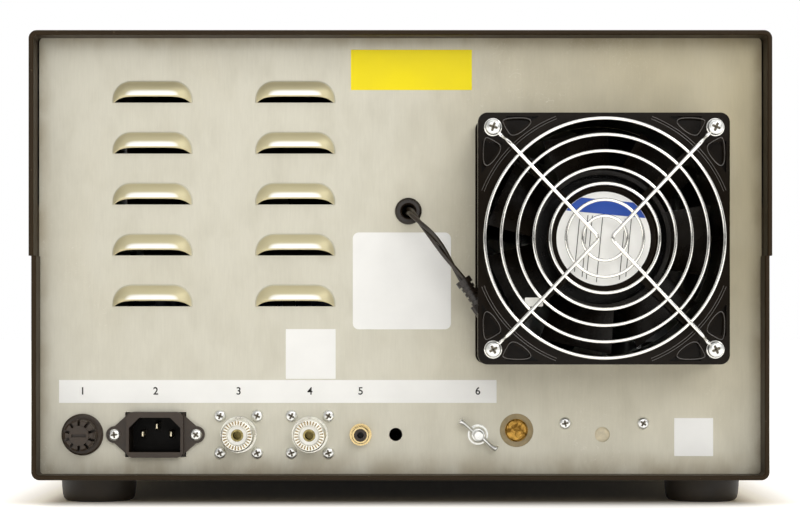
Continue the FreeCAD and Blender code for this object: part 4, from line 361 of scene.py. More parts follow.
def relief(tree, height, depth):
    """A bump of a real depth in millimetres."""
    return add_node(tree, "Bump", {"Height": height, "Distance": depth * MM}).outputs["Normal"]


def new_material(name, **sockets):
    """A Principled surface and the tree, shader and Object coordinates to build on."""
    material = bpy.data.materials.new(name)
    material.use_nodes = True
    tree = material.node_tree
    tree.nodes.clear()
    shader = add_node(tree, "BsdfPrincipled", {
        label.replace("_", " "): value for label, value in sockets.items()})
    add_node(tree, "OutputMaterial", {"Surface": shader.outputs[0]})
    place = add_node(tree, "TexCoord").outputs["Object"]
    return material, tree, shader, place


def feed(tree, shader, **sockets):
    for label, socket in sockets.items():
        tree.links.new(socket, shader.inputs[label.replace("_", " ")])


def finish(name, code, roughness, metallic, drift, patch, grain, depth, spread=0.06,
           stretch=(1, 1, 1), **sockets):
    """A colour and a roughness that drift in patches, over a fine relief; sizes in millimetres."""
    material, tree, shader, place = new_material(name, Metallic=metallic, **sockets)
    named = not code.startswith("#")
    base = np.array(getattr(bpy.context.scene.amplifier_colours, code) if named else linear(code))
    patches = noise(tree, place, patch, stretch, 5.0)
    low = (*(base[:3] * (1 - drift)).tolist(), 1.0)
    high = (*np.minimum(base[:3] * (1 + drift), 1).tolist(), 1.0)
    fine = noise(tree, place, grain, stretch, 2.0)
    feed(tree, shader, Base_Color=blend_colours(tree, between(tree, patches, 0.35, 0.65), low, high),
         Roughness=between(tree, patches, 0.3, 0.7, max(roughness - spread, 0.02), roughness + spread),
         Normal=relief(tree, fine, depth))
    return material


def satin_bronze_paint():
    """Stoved satin paint on folded steel: very dark brown, with a fine even peel."""
    material, tree, shader, place = new_material("satin_bronze_paint", Metallic=0.0, Specular_IOR_Level=0.1)
    case = tuple(bpy.context.scene.amplifier_colours.case)
    patches = noise(tree, place, 25, detail=5.0)
    tint = blend_colours(tree, between(tree, patches, 0.35, 0.7), case, "#33281a")
    # Specks of dust and small knocks show as dull tan marks about half a millimetre across.
    knocks = between(tree, noise(tree, place, 1.6, detail=4.0), 0.70, 0.76, 0.0, 0.5)
    feed(tree, shader, Base_Color=blend_colours(tree, knocks, tint, "#7b6a55"),
         Roughness=between(tree, patches, 0.3, 0.7, 0.40, 0.45),
         Normal=relief(tree, noise(tree, place, 0.9, detail=2.0), 0.012))
    return material


def aged_aluminium_sheet():
    """Mill aluminium sheet dulled by its oxide: nearly matt, with a soft vertical grain,
    cloudy handling marks, a darker tan band along its edges and a painted highlight on the hoods' lips."""
    material, tree, shader, place = new_material("aged_aluminium_sheet")
    colours = bpy.context.scene.amplifier_colours
    axes = add_node(tree, "SeparateXYZ", {"Vector": place}).outputs
    clouds = noise(tree, place, 70, (1, 1, 0.7), 5.0, 0.6)
    # The sheet is paler at its left and darker and yellower high at its right, with no clear border.
    right_high_tint = add_node(tree, "Math", (between(tree, axes["X"], -0.02, 0.17),
                                     between(tree, clouds, 0.3, 0.7, -0.18, 0.18)),
                      operation="ADD", use_clamp=True).outputs[0]
    right_high_tint = add_node(tree, "Math", (right_high_tint, between(tree, axes["Z"], 0.03, 0.12, 0.2, 1.0)),
                      operation="MULTIPLY").outputs[0]
    metal = blend_colours(tree, right_high_tint, tuple(colours.panel), tuple(colours.panel_warm))
    mottle = noise(tree, place, 11, (1, 1, 0.6), 6.0, 0.3)
    metal = blend_colours(tree, between(tree, mottle, 0.45, 0.75, 0.0, 0.14), metal, "#aaa48f")
    # Darker and tan within a centimetre of the folded edges, broken up by the mottle.
    edge = add_node(tree, "Math", (between(tree, axes["Z"], 0.026, 0.0155),
                                   between(tree, axes["Z"], 0.222, 0.2295)),
                    operation="MAXIMUM").outputs[0]
    sides = add_node(tree, "Math", (axes["X"],), operation="ABSOLUTE").outputs[0]
    edge = add_node(tree, "Math", (edge, between(tree, sides, 0.171, 0.1775)),
                    operation="MAXIMUM").outputs[0]
    edge_tan = add_node(tree, "Math", (edge, between(tree, mottle, 0.3, 0.62, 0.1, 0.5)),
                     operation="MULTIPLY").outputs[0]
    metal = blend_colours(tree, edge_tan, metal, "#9a8661")
    # The mill grain is finer than a tenth of a millimetre; it is drawn at 0.6 mm so that it shows.
    grain = noise(tree, place, 0.6, (1, 1, 0.08))
    metal = blend_colours(tree, between(tree, grain, 0.3, 0.7, 0.0, 0.07), metal, "#8f897a")
    # Fine scratches run at all angles, a tenth of a millimetre wide and some centimetres long.
    trace = add_node(tree, "Math", (noise(tree, place, 7, detail=1.0, distortion=2.5), 0.5),
                     operation="SUBTRACT").outputs[0]
    trace = add_node(tree, "Math", (trace,), operation="ABSOLUTE").outputs[0]
    trace = add_node(tree, "Math", (between(tree, trace, 0.0, 0.006, 0.5, 0.0),
                                    between(tree, clouds, 0.55, 0.65)),
                     operation="MULTIPLY").outputs[0]
    metal = blend_colours(tree, trace, metal, "#efece2")
    # The drawn-out hoods are burnished, smoother and more metallic, and coloured yellower. Their sheared lip
    # is painted near white: fresh-cut metal and a painted highlight.
    drawn = between(tree, axes["Y"], REAR_FACE - 0.3 * MM, REAR_FACE - 1.2 * MM)
    metal = blend_colours(tree, drawn, metal, "#d3c9a3")
    lip_highlight = between(tree, axes["Y"], REAR_FACE - 3.7 * MM, REAR_FACE - 4.0 * MM)
    feed(tree, shader, Base_Color=blend_colours(tree, lip_highlight, metal, "#fbfaf4"),
         Metallic=between(tree, drawn, 0.0, 1.0, 0.35, 0.6),
         Roughness=between(tree, drawn, 0.0, 1.0, between(tree, mottle, 0.3, 0.7, 0.52, 0.62), 0.5),
         Normal=relief(tree, grain, 0.01))
    return material


def mottled_brass():
    """Old turned brass, dull gold with dark tarnish in spots of two millimetres."""
    material, tree, shader, place = new_material("mottled_brass", Metallic=1.0)
    spots = noise(tree, place, 2.2, (1, 1, 1), 6.0, 0.8)
    tint = blend_colours(tree, between(tree, spots, 0.38, 0.62), "#6c4d1e", "#cda04f")
    feed(tree, shader, Base_Color=tint, Roughness=between(tree, spots, 0.3, 0.7, 0.35, 0.55),
         Normal=relief(tree, spots, 0.05))
    return material


def clear_glass(name, roughness):
    """Clear pane or bulb: see-through, with only its gloss to show it."""
    material, tree, shader, place = new_material(
        name, Transmission_Weight=1.0, IOR=1.5, Base_Color=linear("#f4f7f6"))
    smear = noise(tree, place, 8, detail=4.0)
    feed(tree, shader, Roughness=between(tree, smear, 0.4, 0.8, roughness, roughness + 0.08))
    return material


def moulded_inlet_thermoset():
    """Brown-black moulded thermoset, with painted shade inside its mouth: much darker there and less glossy.
    """
    material = finish("moulded_inlet_thermoset", "#33271b", 0.42, 0.0, 0.12, 5.0, 0.3, 0.015)
    tree = material.node_tree
    shader = tree.nodes["Principled BSDF"]
    unshaded_colour = shader.inputs["Base Color"].links[0].from_socket
    place = add_node(tree, "TexCoord").outputs["Object"]
    offset = add_node(tree, "VectorMath", (place, (INLET_X, 0.0, 0.0)), operation="SUBTRACT")
    axes = add_node(tree, "SeparateXYZ", offset.outputs[:1]).outputs
    sides = add_node(tree, "Math", (axes["X"],), operation="ABSOLUTE").outputs[0]
    inside = between(tree, sides, 0.0134, 0.0124)
    depth = between(tree, axes["Y"], REAR_FACE - 5 * MM, REAR_FACE - 1 * MM)
    mouth_shade = add_node(tree, "Math", (inside, depth), operation="MULTIPLY").outputs[0]
    # Painted shade: inside the mouth the colour goes nearly black and the gloss is turned down, so that it
    # throws back little of the room.
    mouth_gloss = add_node(tree, "Math", (mouth_shade, -0.4, 0.5), operation="MULTIPLY_ADD").outputs[0]
    feed(tree, shader, Base_Color=blend_colours(tree, mouth_shade, unshaded_colour, "#0d0a07"), Specular_IOR_Level=mouth_gloss)
    return material


# Name, sRGB colour or colour property, roughness, metallic, drift, patch, grain and relief in
# millimetres, what else the finish takes, and the CAD nodes that it covers.
FINISHES = (
    # Moulded glass-filled polyester: black, slightly glossy, with a very fine cast texture.
    ("moulded_black_polyester", "#150f08", 0.13, 0.0, 0.12, 9.0, 0.35, 0.003,
     {"spread": 0.03, "Specular_IOR_Level": 0.15},
     "fan_frame fan_spider antenna_relay meter_cases switch_bodies"),
    # The same plastic on moving blades, a little duller from dust.
    ("dusty_black_polyester", "#130e08", 0.25, 0.0, 0.25, 14.0, 0.4, 0.02,
     {"Specular_IOR_Level": 0.25}, "fan_impeller"),
    # The same plastic, paler and glossier, on the rims of the fan frame's pockets: a painted highlight along
    # the raised edges.
    ("painted_highlight_polyester", "#2b2319", 0.2, 0.0, 0.2, 6.0, 0.4, 0.003, {"Specular_IOR_Level": 0.8}, ""),
    # Moulded thermoset of the fuse holder: brown-black and satin.
    ("satin_black_thermoset", "#33271b", 0.42, 0.0, 0.12, 5.0, 0.3, 0.015, {},
     "fuse_holder fuse_cap phono_insulator"),
    # Rubber feet: matt, with a pale dusty drift.
    ("moulded_black_rubber", "#2b2319", 0.55, 0.0, 0.3, 15.0, 0.6, 0.03, {}, "rubber_feet"),
    # Softer glossy rubber of the grommet and the lead's strain relief.
    ("glossy_black_rubber", "#241b13", 0.30, 0.0, 0.2, 4.0, 0.3, 0.01, {}, "cable_grommet fan_plug"),
    # Extruded vinyl on the lead's two wires: brown-black, smoothed where it was bent.
    ("lead_insulation", "lead", 0.34, 0.0, 0.3, 5.0, 0.4, 0.01, {}, "fan_lead"),
    # Bright nickel and chromium over polished steel wire: a near mirror.
    ("bright_chrome_wire", "#eceae4", 0.12, 1.0, 0.05, 4.0, 0.5, 0.002, {}, "finger_guard"),
    # Bright zinc with a cool tint that turns yellow in places.
    ("bright_zinc_screw", "#ecece8", 0.33, 1.0, 0.1, 1.5, 0.3, 0.004, {},
     "fan_screws panel_screws earth_stud earth_washer wing_nut"),
    # Satin nickel on turned brass, slightly yellow, dull in the thread.
    ("satin_nickel_plate", "#f6f2e8", 0.30, 1.0, 0.12, 2.5, 0.3, 0.006, {},
     "rf_input_socket rf_output_socket"),
    # Bright plated inner brackets and shafts.
    ("zinc_plated_steel", "#c3c5c4", 0.28, 1.0, 0.1, 3.0, 0.4, 0.006, {},
     "transformer_clamp band_shaft meter_shaft"),
    # Passivated zinc gone dull and grey-green behind the panel.
    ("dulled_zinc_sheet", "#d8cdb2", 0.6, 0.3, 0.12, 3.0, 0.5, 0.02, {}, "access_bracket"),
    # Folded inner sheet as it came from the mill.
    ("mill_aluminium", "#b9b9b5", 0.42, 1.0, 0.07, 20.0, 0.8, 0.01, {"stretch": (1, 0.1, 1)},
     "chassis_tray valve_deck capacitor_stators tune_rotor load_rotor anode_clips"),
    # Plated contact brass, bright but dulled in spots.
    ("plated_contact_brass", "#d9cfb4", 0.24, 1.0, 0.15, 2.0, 0.3, 0.006, {}, "inlet_pins"),
    # The same brass in the sockets' middles, darker.
    ("dulled_contact_brass", "#9a8d5e", 0.4, 1.0, 0.3, 1.2, 0.3, 0.02, {}, "socket_contacts"),
    # Brass where plugs have rubbed the plating through.
    ("rubbed_brass", "#a8926a", 0.45, 0.8, 0.2, 1.5, 0.2, 0.02, {}, ""),
    # Grime and oxide where a driver has rubbed the plating through, made dark as painted shade in the
    # crosses of the screw heads.
    ("oxide_and_painted_shade", "#786f60", 0.55, 0.4, 0.2, 0.8, 0.2, 0.02, {}, ""),
    # Thin gold plate on the small sleeve.
    ("gold_plate", "#dcc592", 0.22, 1.0, 0.12, 2.0, 0.25, 0.004, {}, "phono_socket"),
    # White fluoropolymer insulation, waxy.
    ("waxy_white_insulator", "#f3f1ea", 0.36, 0.0, 0.05, 3.0, 0.3, 0.008, {}, "socket_insulators"),
    # Smoke-grey nylon ring, scuffed.
    ("smoked_nylon", "#988660", 0.45, 0.0, 0.12, 2.5, 0.4, 0.03, {}, ""),
    # Glazed ceramic of the valve sockets, the coil's former and the switch wafers.
    ("glazed_ceramic", "#d9d4c5", 0.25, 0.0, 0.05, 10.0, 1.2, 0.02, {},
     "valve_sockets tank_coil rotary_switches"),
    # Wound polyester tape: yellow film, its laps 12 mm wide.
    ("wound_polyester_tape", "#c9b25a", 0.3, 0.0, 0.18, 12.0, 2.0, 0.08, {}, "transformer"),
    # Heat-shrunk sleeve on the capacitors.
    ("shrunk_blue_sleeve", "#1d2a4d", 0.28, 0.0, 0.1, 12.0, 1.0, 0.02, {}, "capacitor_bank"),
    # Green lacquered glass-epoxy board.
    ("lacquered_board", "#1f4a2b", 0.35, 0.0, 0.15, 6.0, 0.5, 0.02, {}, "capacitor_board"),
    # Satin powder paint on the front panel, dark warm grey.
    ("satin_grey_powder_paint", "#34302c", 0.48, 0.0, 0.06, 20.0, 0.7, 0.02, {}, "front_panel"),
    # Moulded phenolic knobs and rockers, polished by use.
    ("polished_black_phenolic", "#0b0a0a", 0.22, 0.0, 0.15, 8.0, 0.6, 0.008, {},
     "tune_knob load_knob band_knob meter_knob power_rocker operate_rocker"),
    # Tinted acrylic lamp lens.
    ("tinted_red_acrylic", "#a3160f", 0.12, 0.0, 0.08, 3.0, 0.5, 0.004, {"Coat_Weight": 0.5}, "pilot_lamps"),
    # Painted needle, matt black.
    ("matt_black_enamel", "#0b0b0b", 0.5, 0.0, 0.1, 6.0, 0.4, 0.004, {}, "plate_needle grid_needle"),
    # Smooth self-adhesive vinyl, even in colour, with a faint drift where it has been handled.
    *((name, code, 0.38, 0.0, 0.02, 18.0, 0.25, 0.004, {"Specular_IOR_Level": 0.25}, "")
      for name, code in (("white_vinyl", "label_white"), ("yellow_vinyl", "label_yellow"),
                         ("blue_print", "#2f54b0"), ("black_print", "#17140f"))),
)


class AmplifierOperator:
    """What every operator here shares: it is given the sizes."""

    bl_options = {"REGISTER", "UNDO"}

    def execute(self, context):
        self.make(context.scene.amplifier_sizes)
        return {"FINISHED"}


class AMPLIFIER_OT_finishes(AmplifierOperator, bpy.types.Operator):
    """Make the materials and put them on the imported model's nodes"""

    bl_idname = "amplifier.finishes"
    bl_label = "Finishes"

    def make(self, sizes):
        made = [(finish(*row, **more), nodes) for *row, more, nodes in FINISHES]
        made += [(satin_bronze_paint(), "upper_cover lower_cover case_screws"),
                 (aged_aluminium_sheet(), "rear_panel"),
                 (moulded_inlet_thermoset(), "inlet_housing"),
                 (mottled_brass(), "brass_bush"),
                 (clear_glass("clear_glass_pane", 0.02), "meter_windows"),
                 (clear_glass("blown_glass", 0.03), "valves fuse_link")]
        bare = set(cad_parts)
        for material, nodes in made:
            for node in nodes.split():
                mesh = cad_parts[node].data
                mesh.materials.clear()
                mesh.materials.append(material)
                bare.remove(node)
        if bare:
            raise RuntimeError("no finish for " + ", ".join(sorted(bare)))


class AMPLIFIER_OT_stage(AmplifierOperator, bpy.types.Operator):
    """Set up the camera, the lamps, the floor and the white surroundings"""

    bl_idname = "amplifier.stage"
    bl_label = "Stage"

    # The horizon lies 64.5 pixels below the middle of the 800-pixel-wide picture.
    horizon_drop = 64.5 / 800
    lens = 91.2
    camera_place = (-0.0002, -1.1525, 0.0853)
    # Name, place, target, size and power: in front, a weaker one high at the right, overhead, behind.
    lamp_table = (
        ("front_lamp", (0.25, -2.05, 0.92), (0.0, -0.15, 0.12), (1.7, 1.1), 12.5),
        ("key_lamp", (1.45, -1.35, 1.55), (0.0, -0.15, 0.12), (0.7, 0.7), 8.0),
        ("overhead_lamp", (0.0, 0.0, 2.2), (0.0, 0.0, 0.0), (2.4, 2.0), 7.0),
        ("far_lamp", (-0.6, 1.9, 1.3), (0.0, 0.1, 0.1), (1.2, 1.0), 10.0),
    )
    # Half the case's footprint, a little inside its edges, and half the floor's side.
    footprint = (0.166, 0.142, 0.0)
    floor_half = 15

    def make(self, sizes):
        scene = bpy.context.scene
        camera = bpy.data.cameras.new("camera")
        camera.sensor_width = 36.0
        camera.lens = self.lens
        camera.shift_y = self.horizon_drop
        camera.clip_end = 50.0
        eye = bpy.data.objects.new("camera", camera)
        eye.location = self.camera_place
        eye.rotation_euler = (math.radians(90), 0, 0)
        scene.collection.objects.link(eye)
        scene.camera = eye
        for name, where, target, size, power in self.lamp_table:
            lamp = bpy.data.lights.new(name, "AREA")
            lamp.shape = "RECTANGLE"
            lamp.size, lamp.size_y = size
            lamp.energy = power
            stand = bpy.data.objects.new(name, lamp)
            stand.location = where
            stand.rotation_euler = (Vector(target) - Vector(where)).to_track_quat("-Z", "Y").to_euler()
            scene.collection.objects.link(stand)
        self.surroundings(scene)
        self.floor(scene)
        scene.view_settings.view_transform = "Standard"

    def seen(self, tree):
        """One where a ray comes from the camera or through glass, and one where it comes off metal."""
        path = add_node(tree, "LightPath").outputs
        direct = add_node(tree, "Math", (path["Is Camera Ray"], path["Is Transmission Ray"]),
                          operation="MAXIMUM")
        return direct.outputs[0], path["Is Glossy Ray"]

    def surroundings(self, scene):
        """White to the eye; to everything else a room that is brighter overhead than at its walls.

        Metal shows the white too, except where it faces the dark half of the room before the rear."""
        world = bpy.data.worlds.new("surroundings")
        world.use_nodes = True
        tree = world.node_tree
        tree.nodes.clear()
        direct, glossy = self.seen(tree)
        facing = add_node(tree, "TexCoord").outputs["Generated"]
        axes = add_node(tree, "SeparateXYZ", {"Vector": facing}).outputs
        room = between(tree, axes["Z"], 0.0, 1.0, 0.32, 0.85)
        mirrored = between(tree, axes["Y"], -0.9, 0.1, 0.14, 1.0)
        level = add_node(tree, "Math", (direct, between(tree, glossy, 0.0, 1.0, room, mirrored)),
                         operation="MAXIMUM").outputs[0]
        sky = add_node(tree, "Background", {"Color": (1.0, 1.0, 1.0, 1.0), "Strength": level})
        add_node(tree, "OutputWorld", {"Surface": sky.outputs[0]})
        scene.world = world

    def floor(self, scene):
        """A level sheet that glows to the eye and in metal and glass, as painted light: faintly under the
        case, lifting its shadow, and from the case's footprint outwards more and more, so that it turns
        white within a few centimetres and the shadow's edge is painted. Under the case it keeps the shadow,
        whose colour is painted slightly warm."""
        span = np.linspace(-self.floor_half, self.floor_half, 7)
        x, y = np.meshgrid(span, span)
        mesh = mesh_of("floor", [(np.stack([x, y, x * 0], -1), False, False)])
        material, tree, shader, place = new_material(
            "white_paper_sheet", Metallic=0.0, Roughness=0.9, Emission_Color=(1.0, 1.0, 1.0, 1.0))
        outside = place
        for operation, *more in (("ABSOLUTE",), ("SUBTRACT", self.footprint), ("MAXIMUM", (0.0, 0.0, 0.0))):
            outside = add_node(tree, "VectorMath", (outside, *more), operation=operation).outputs[0]
        away = add_node(tree, "VectorMath", (outside,), operation="LENGTH").outputs["Value"]
        pale = blend_colours(tree, noise(tree, place, 500, detail=2.0), "#f8f5ef", "#faf8f4")
        # Painted light: a faint glow under the case, growing to white a few centimetres outside its
        # footprint.
        painted_glow = add_node(tree, "Math", (between(tree, away, 0.0, 0.034, 0.006, 0.5),
                                        between(tree, away, 0.034, 0.5, 0.0, 0.1)),
                         operation="ADD").outputs[0]
        eye = add_node(tree, "Math", self.seen(tree), operation="MAXIMUM").outputs[0]
        painted_glow = add_node(tree, "Math", (painted_glow, eye), operation="MULTIPLY").outputs[0]
        # The colour under the case is painted warm, a painted tint of its shadow.
        feed(tree, shader, Emission_Strength=painted_glow,
             Base_Color=blend_colours(tree, between(tree, away, 0.0, 0.045), "#f0ddb4", pale))
        mesh.materials.append(material)
        sheet = bpy.data.objects.new("floor", mesh)
        scene.collection.objects.link(sheet)


class AMPLIFIER_OT_lead(AmplifierOperator, bpy.types.Operator):
    """Lay the fan's twisted lead from the grommet to the plug"""

    bl_idname = "amplifier.lead"
    bl_label = "Fan lead"

    # The same route as the solid lead's.
    route = ((0.0039, -0.1560, 0.1436), (0.0045, -0.1675, 0.1432), (0.0075, -0.1734, 0.1391),
             (0.0159, -0.1776, 0.1301), (0.0236, -0.1760, 0.1187), (0.0299, -0.1760, 0.1096))
    # A direction that the route never takes, and where on the line the wires lie side by side.
    beside = (0.83, 0.0, 0.56)
    start_turn = 0.6

    def line(self):
        """The smooth line through the route, as Blender works it out for a curve without thickness."""
        curve = bpy.data.curves.new("lead_line", "CURVE")
        curve.dimensions = "3D"
        curve.resolution_u = 24
        spline = curve.splines.new("NURBS")
        spline.points.add(len(self.route) - 1)
        for control, spot in zip(spline.points, self.route):
            control.co = (*spot, 1.0)
        spline.order_u = 3
        spline.use_endpoint_u = True
        mesh = mesh_from(curve)
        points = places_of(mesh)
        bpy.data.meshes.remove(mesh)
        return points

    def make(self, sizes):
        """Two round wires, each on a helix about the line: its offset turns once per twist."""
        line = self.line()
        side, up = across(line, self.beside)
        steps = np.linalg.norm(np.diff(line, axis=0), axis=1)
        travelled = np.concatenate([[0], np.cumsum(steps)])
        turn = 2 * np.pi * travelled / sizes.lead_twist + self.start_turn
        wire = sizes.lead_diameter / 4
        wires = []
        for half in (0, np.pi):
            offset = np.cos(turn + half)[:, None] * side + np.sin(turn + half)[:, None] * up
            wires.append(tube(line + offset * wire, wire, 14, reference=self.beside))
        piece = add_piece("twisted_lead", wires, "lead_insulation", ["fan_lead"], sharp=60)


class AMPLIFIER_OT_panel(AmplifierOperator, bpy.types.Operator):
    """Give the rear panel its smoothly pressed louvres"""

    bl_idname = "amplifier.panel"
    bl_label = "Louvred panel"

    width = 39.4 * MM
    height = 10.8 * MM
    corner = 9.4 * MM
    reach = 4.1 * MM
    lip = 3.6 * MM
    lip_half = 18.9 * MM
    gauge = 0.9 * MM
    flare = (0.03 * MM, 0.02 * MM)
    columns = (-121.7 * MM, -51.6 * MM)
    first_row = 96.9 * MM
    row_pitch = 25.0 * MM

    def hood(self, inset=0.0, drop=0.0):
        """From an arch at the sheet to a level lip in front of it, both ends of which come down.

        The arch is two quarter circles and a level top. Across it the lip's height falls as
        1 - s^6 and its reach as 1 - 0.8 s^6. Along each line from arch to lip the reach grows as
        1 - (1 - t)^2.2, after a small flare on the sheet."""
        half = self.width / 2 - inset
        top = self.height - inset
        radius = self.corner - inset
        turn = np.linspace(0, np.pi / 2, 17)
        left = np.stack([radius - half - radius * np.cos(turn), top - radius + radius * np.sin(turn)], 1)
        level = np.stack([np.linspace(radius - half, half - radius, 13)[1:-1], np.full(11, top)], 1)
        foot = np.concatenate([[(-half, 0.0)], left, level, left[::-1] * (-1, 1), [(half, 0.0)]])
        spread = np.clip(foot[:, 0] / half, -1, 1)
        ends = np.abs(spread) ** 6
        edge = np.stack([spread * (self.lip_half - inset * 0.4), (self.lip - drop) * (1 - ends)], 1)
        t = np.concatenate([[-0.06, -0.02], np.linspace(0, 1, 17)])[:, None]
        flat = foot[None] + (edge - foot)[None] * t[..., None]
        far = (self.reach - drop) * (1 - 0.8 * ends)[None]
        rise = far * (1 - (1 - np.clip(t, 0, 1)) ** 2.2) + self.flare[1]
        rise = np.where(t < 0, self.flare[0], rise)
        return np.concatenate([flat, rise[..., None]], -1)

    def make(self, sizes):
        outside = self.hood()
        inside = self.hood(self.gauge, self.gauge)
        inside[:2] = inside[2]
        inside[..., 1] = np.maximum(inside[..., 1], 0.0)
        shell = shut_ends(np.concatenate([outside, inside[::-1]]))
        hoods = [on_rear((shell, True, False), x, self.first_row + row * self.row_pitch)
                 for x in self.columns for row in range(5)]
        flat = rest_of("rear_panel", lambda middle: middle.y > REAR_FACE - 0.02 * MM)
        add_piece("louvred_panel", joined("louvred_panel", [flat, mesh_of("hoods", hoods, 50)]),
                  "aged_aluminium_sheet", ["rear_panel"])


class AMPLIFIER_OT_guard(AmplifierOperator, bpy.types.Operator):
    """Bend the fan's wire guard: seven rings under two spokes with looped ends"""

    bl_idname = "amplifier.guard"
    bl_label = "Finger guard"

    rings = 7
    reach = 7.0 * MM
    apex = 2.5 * MM
    kink = 64.0 * MM
    kink_run = 3.5 * MM
    bend = 3.0 * MM
    hole_pitch = 104.8 * MM
    fan_depth = 38.0 * MM
    eye = 3.5 * MM

    def bent(self, corners, steps=10):
        """Straight runs with each corner replaced by a parabola that starts and ends a bend away."""
        spots = [corners[0]]
        mouth_shade = np.linspace(0, 1, steps)[:, None]
        for before, corner, after in zip(corners, corners[1:], corners[2:]):
            start, end = (corner + (other - corner) * min(self.bend / np.linalg.norm(other - corner), 0.48)
                          for other in (before, after))
            spots.extend((1 - mouth_shade) ** 2 * start + 2 * mouth_shade * (1 - mouth_shade) * corner + mouth_shade ** 2 * end)
        spots.append(corners[-1])
        return np.array(spots)

    def make(self, sizes):
        ring = sizes.guard_ring_wire / 2
        spoke = sizes.guard_spoke_wire / 2
        spoke_height = self.reach - spoke
        ring_height = spoke_height - spoke - ring * 0.75
        shapes = []
        for number in range(self.rings):
            radius = sizes.guard_first_ring + number * sizes.guard_pitch
            shapes.append(tube(circle_path(radius, ring_height, 60 + 14 * number), ring, 10, True))
        screw = self.hole_pitch / 2
        diagonal = math.sqrt(0.5)
        stops = ((screw - self.eye * diagonal, spoke), ((self.kink + self.kink_run) * diagonal, spoke),
                 (self.kink * diagonal, spoke_height))
        for side in (-1, 1):
            upper, lower = ([np.array((side * far, up * far, height)) for far, height in stops]
                            for up in (1, -1))
            apex = np.array((side * self.apex, 0.0, spoke_height))
            shapes.append(tube(self.bent([*upper, apex, *lower[::-1]]), spoke))
            for up in (1, -1):
                eye = circle_path(self.eye, spoke, 40, side * screw, up * screw)
                shapes.append(tube(eye, spoke, 10, True))
        placed = [on_rear(shape, sizes.fan_x, sizes.fan_z, self.fan_depth) for shape in shapes]
        add_piece("wire_guard", placed, "bright_chrome_wire", ["finger_guard"], sharp=60)


class AMPLIFIER_OT_fasteners(AmplifierOperator, bpy.types.Operator):
    """Cut the crosses into the screw heads of the panel and the fan"""

    bl_idname = "amplifier.fasteners"
    bl_label = "Screw heads"

    fan_seat = 39.9 * MM
    inlet_seat = 2.0 * MM
    fan_spread = 52.4 * MM
    socket_spread = 9.1 * MM
    bracket_spots = ((80.8 * MM, 39.5 * MM), (119.1 * MM, 39.5 * MM))
    inlet_spread = 20.0 * MM
    # Radius and height of a head.
    fan_head = (3.8 * MM, 2.6 * MM)
    panel_head = (2.95 * MM, 1.9 * MM)
    # No two crosses stand at the same angle.
    first_turn = 28.0
    next_turn = 43.0

    def head(self, radius, height, turn):
        """A dome, height (1 - (r/R)^4)^0.5, less a cross whose arms taper and deepen to the middle."""
        r = np.concatenate([np.linspace(0, 0.72, 19), [0.80, 0.88, 0.94, 0.98, 1.0]])[:, None]
        a = full_turn(72)[None]
        dome = height * (0.12 + 0.88 * np.sqrt(np.clip(1 - r ** 4, 0, 1)))
        x, y = r * np.cos(a), r * np.sin(a)
        cut = np.zeros_like(x)
        for along, aside in ((np.abs(x), np.abs(y)), (np.abs(y), np.abs(x))):
            arm = 1 - smooth_step(0.11, 0.17, aside + along * 0.05)
            arm = arm * (1 - smooth_step(0.48, 0.56, along))
            cut = np.maximum(cut, arm * (1 - 0.45 * along))
        grid = np.stack([radius * x, radius * y, dome - height * 0.85 * cut], -1)
        rim = grid[-1:] * (1, 1, 0)
        return turned((np.concatenate([grid, rim, rim * 0]), False, True), turn)

    def recess(self, radius, height, turn):
        """Oxide and painted shade in a cross: two thin dark bars across each other, below the dome's
        surface.
        """
        bar = rounded_plate(radius * 1.02, radius * 0.2, radius * 0.08, height * 0.2, 3)
        return [turned(moved(bar, (0, 0, height * 0.27)), turn + quarter) for quarter in (0, 90)]

    def make(self, sizes):
        z = sizes.connector_z
        square = [(a, b) for a in (-1, 1) for b in (-1, 1)]
        fan = [(sizes.fan_x + a * self.fan_spread, sizes.fan_z + b * self.fan_spread) for a, b in square]
        panel = [(x + a * self.socket_spread, z + b * self.socket_spread)
                 for x in SOCKETS_X for a, b in square]
        panel += self.bracket_spots
        inlet = [(INLET_X + side * self.inlet_spread, z) for side in (-1, 1)]
        recesses = []
        for node, seat, groups in (
            ("fan_screws", self.fan_seat, ((fan, self.fan_head, self.fan_seat),)),
            ("panel_screws", 0.0, ((panel, self.panel_head, 0.0),
                                   (inlet, self.panel_head, self.inlet_seat))),
        ):
            heads = []
            for spots, head_size, height in groups:
                for x, up in spots:
                    turn = self.first_turn + self.next_turn * len(heads)
                    heads.append(on_rear(self.head(*head_size, turn), x, up, height))
                    recesses += [on_rear(bar, x, up, height) for bar in self.recess(*head_size, turn)]
            name = "crossed_" + node
            shanks = rest_of(node, lambda middle: middle.y > REAR_FACE - seat + 0.01 * MM)
            add_piece(name, joined(name, [shanks, mesh_of(name, heads, 40)]), "bright_zinc_screw",
                      [node])
        # Painted shade in the crosses, over their oxide.
        add_piece("screw_recesses", recesses, "oxide_and_painted_shade", sharp=40)


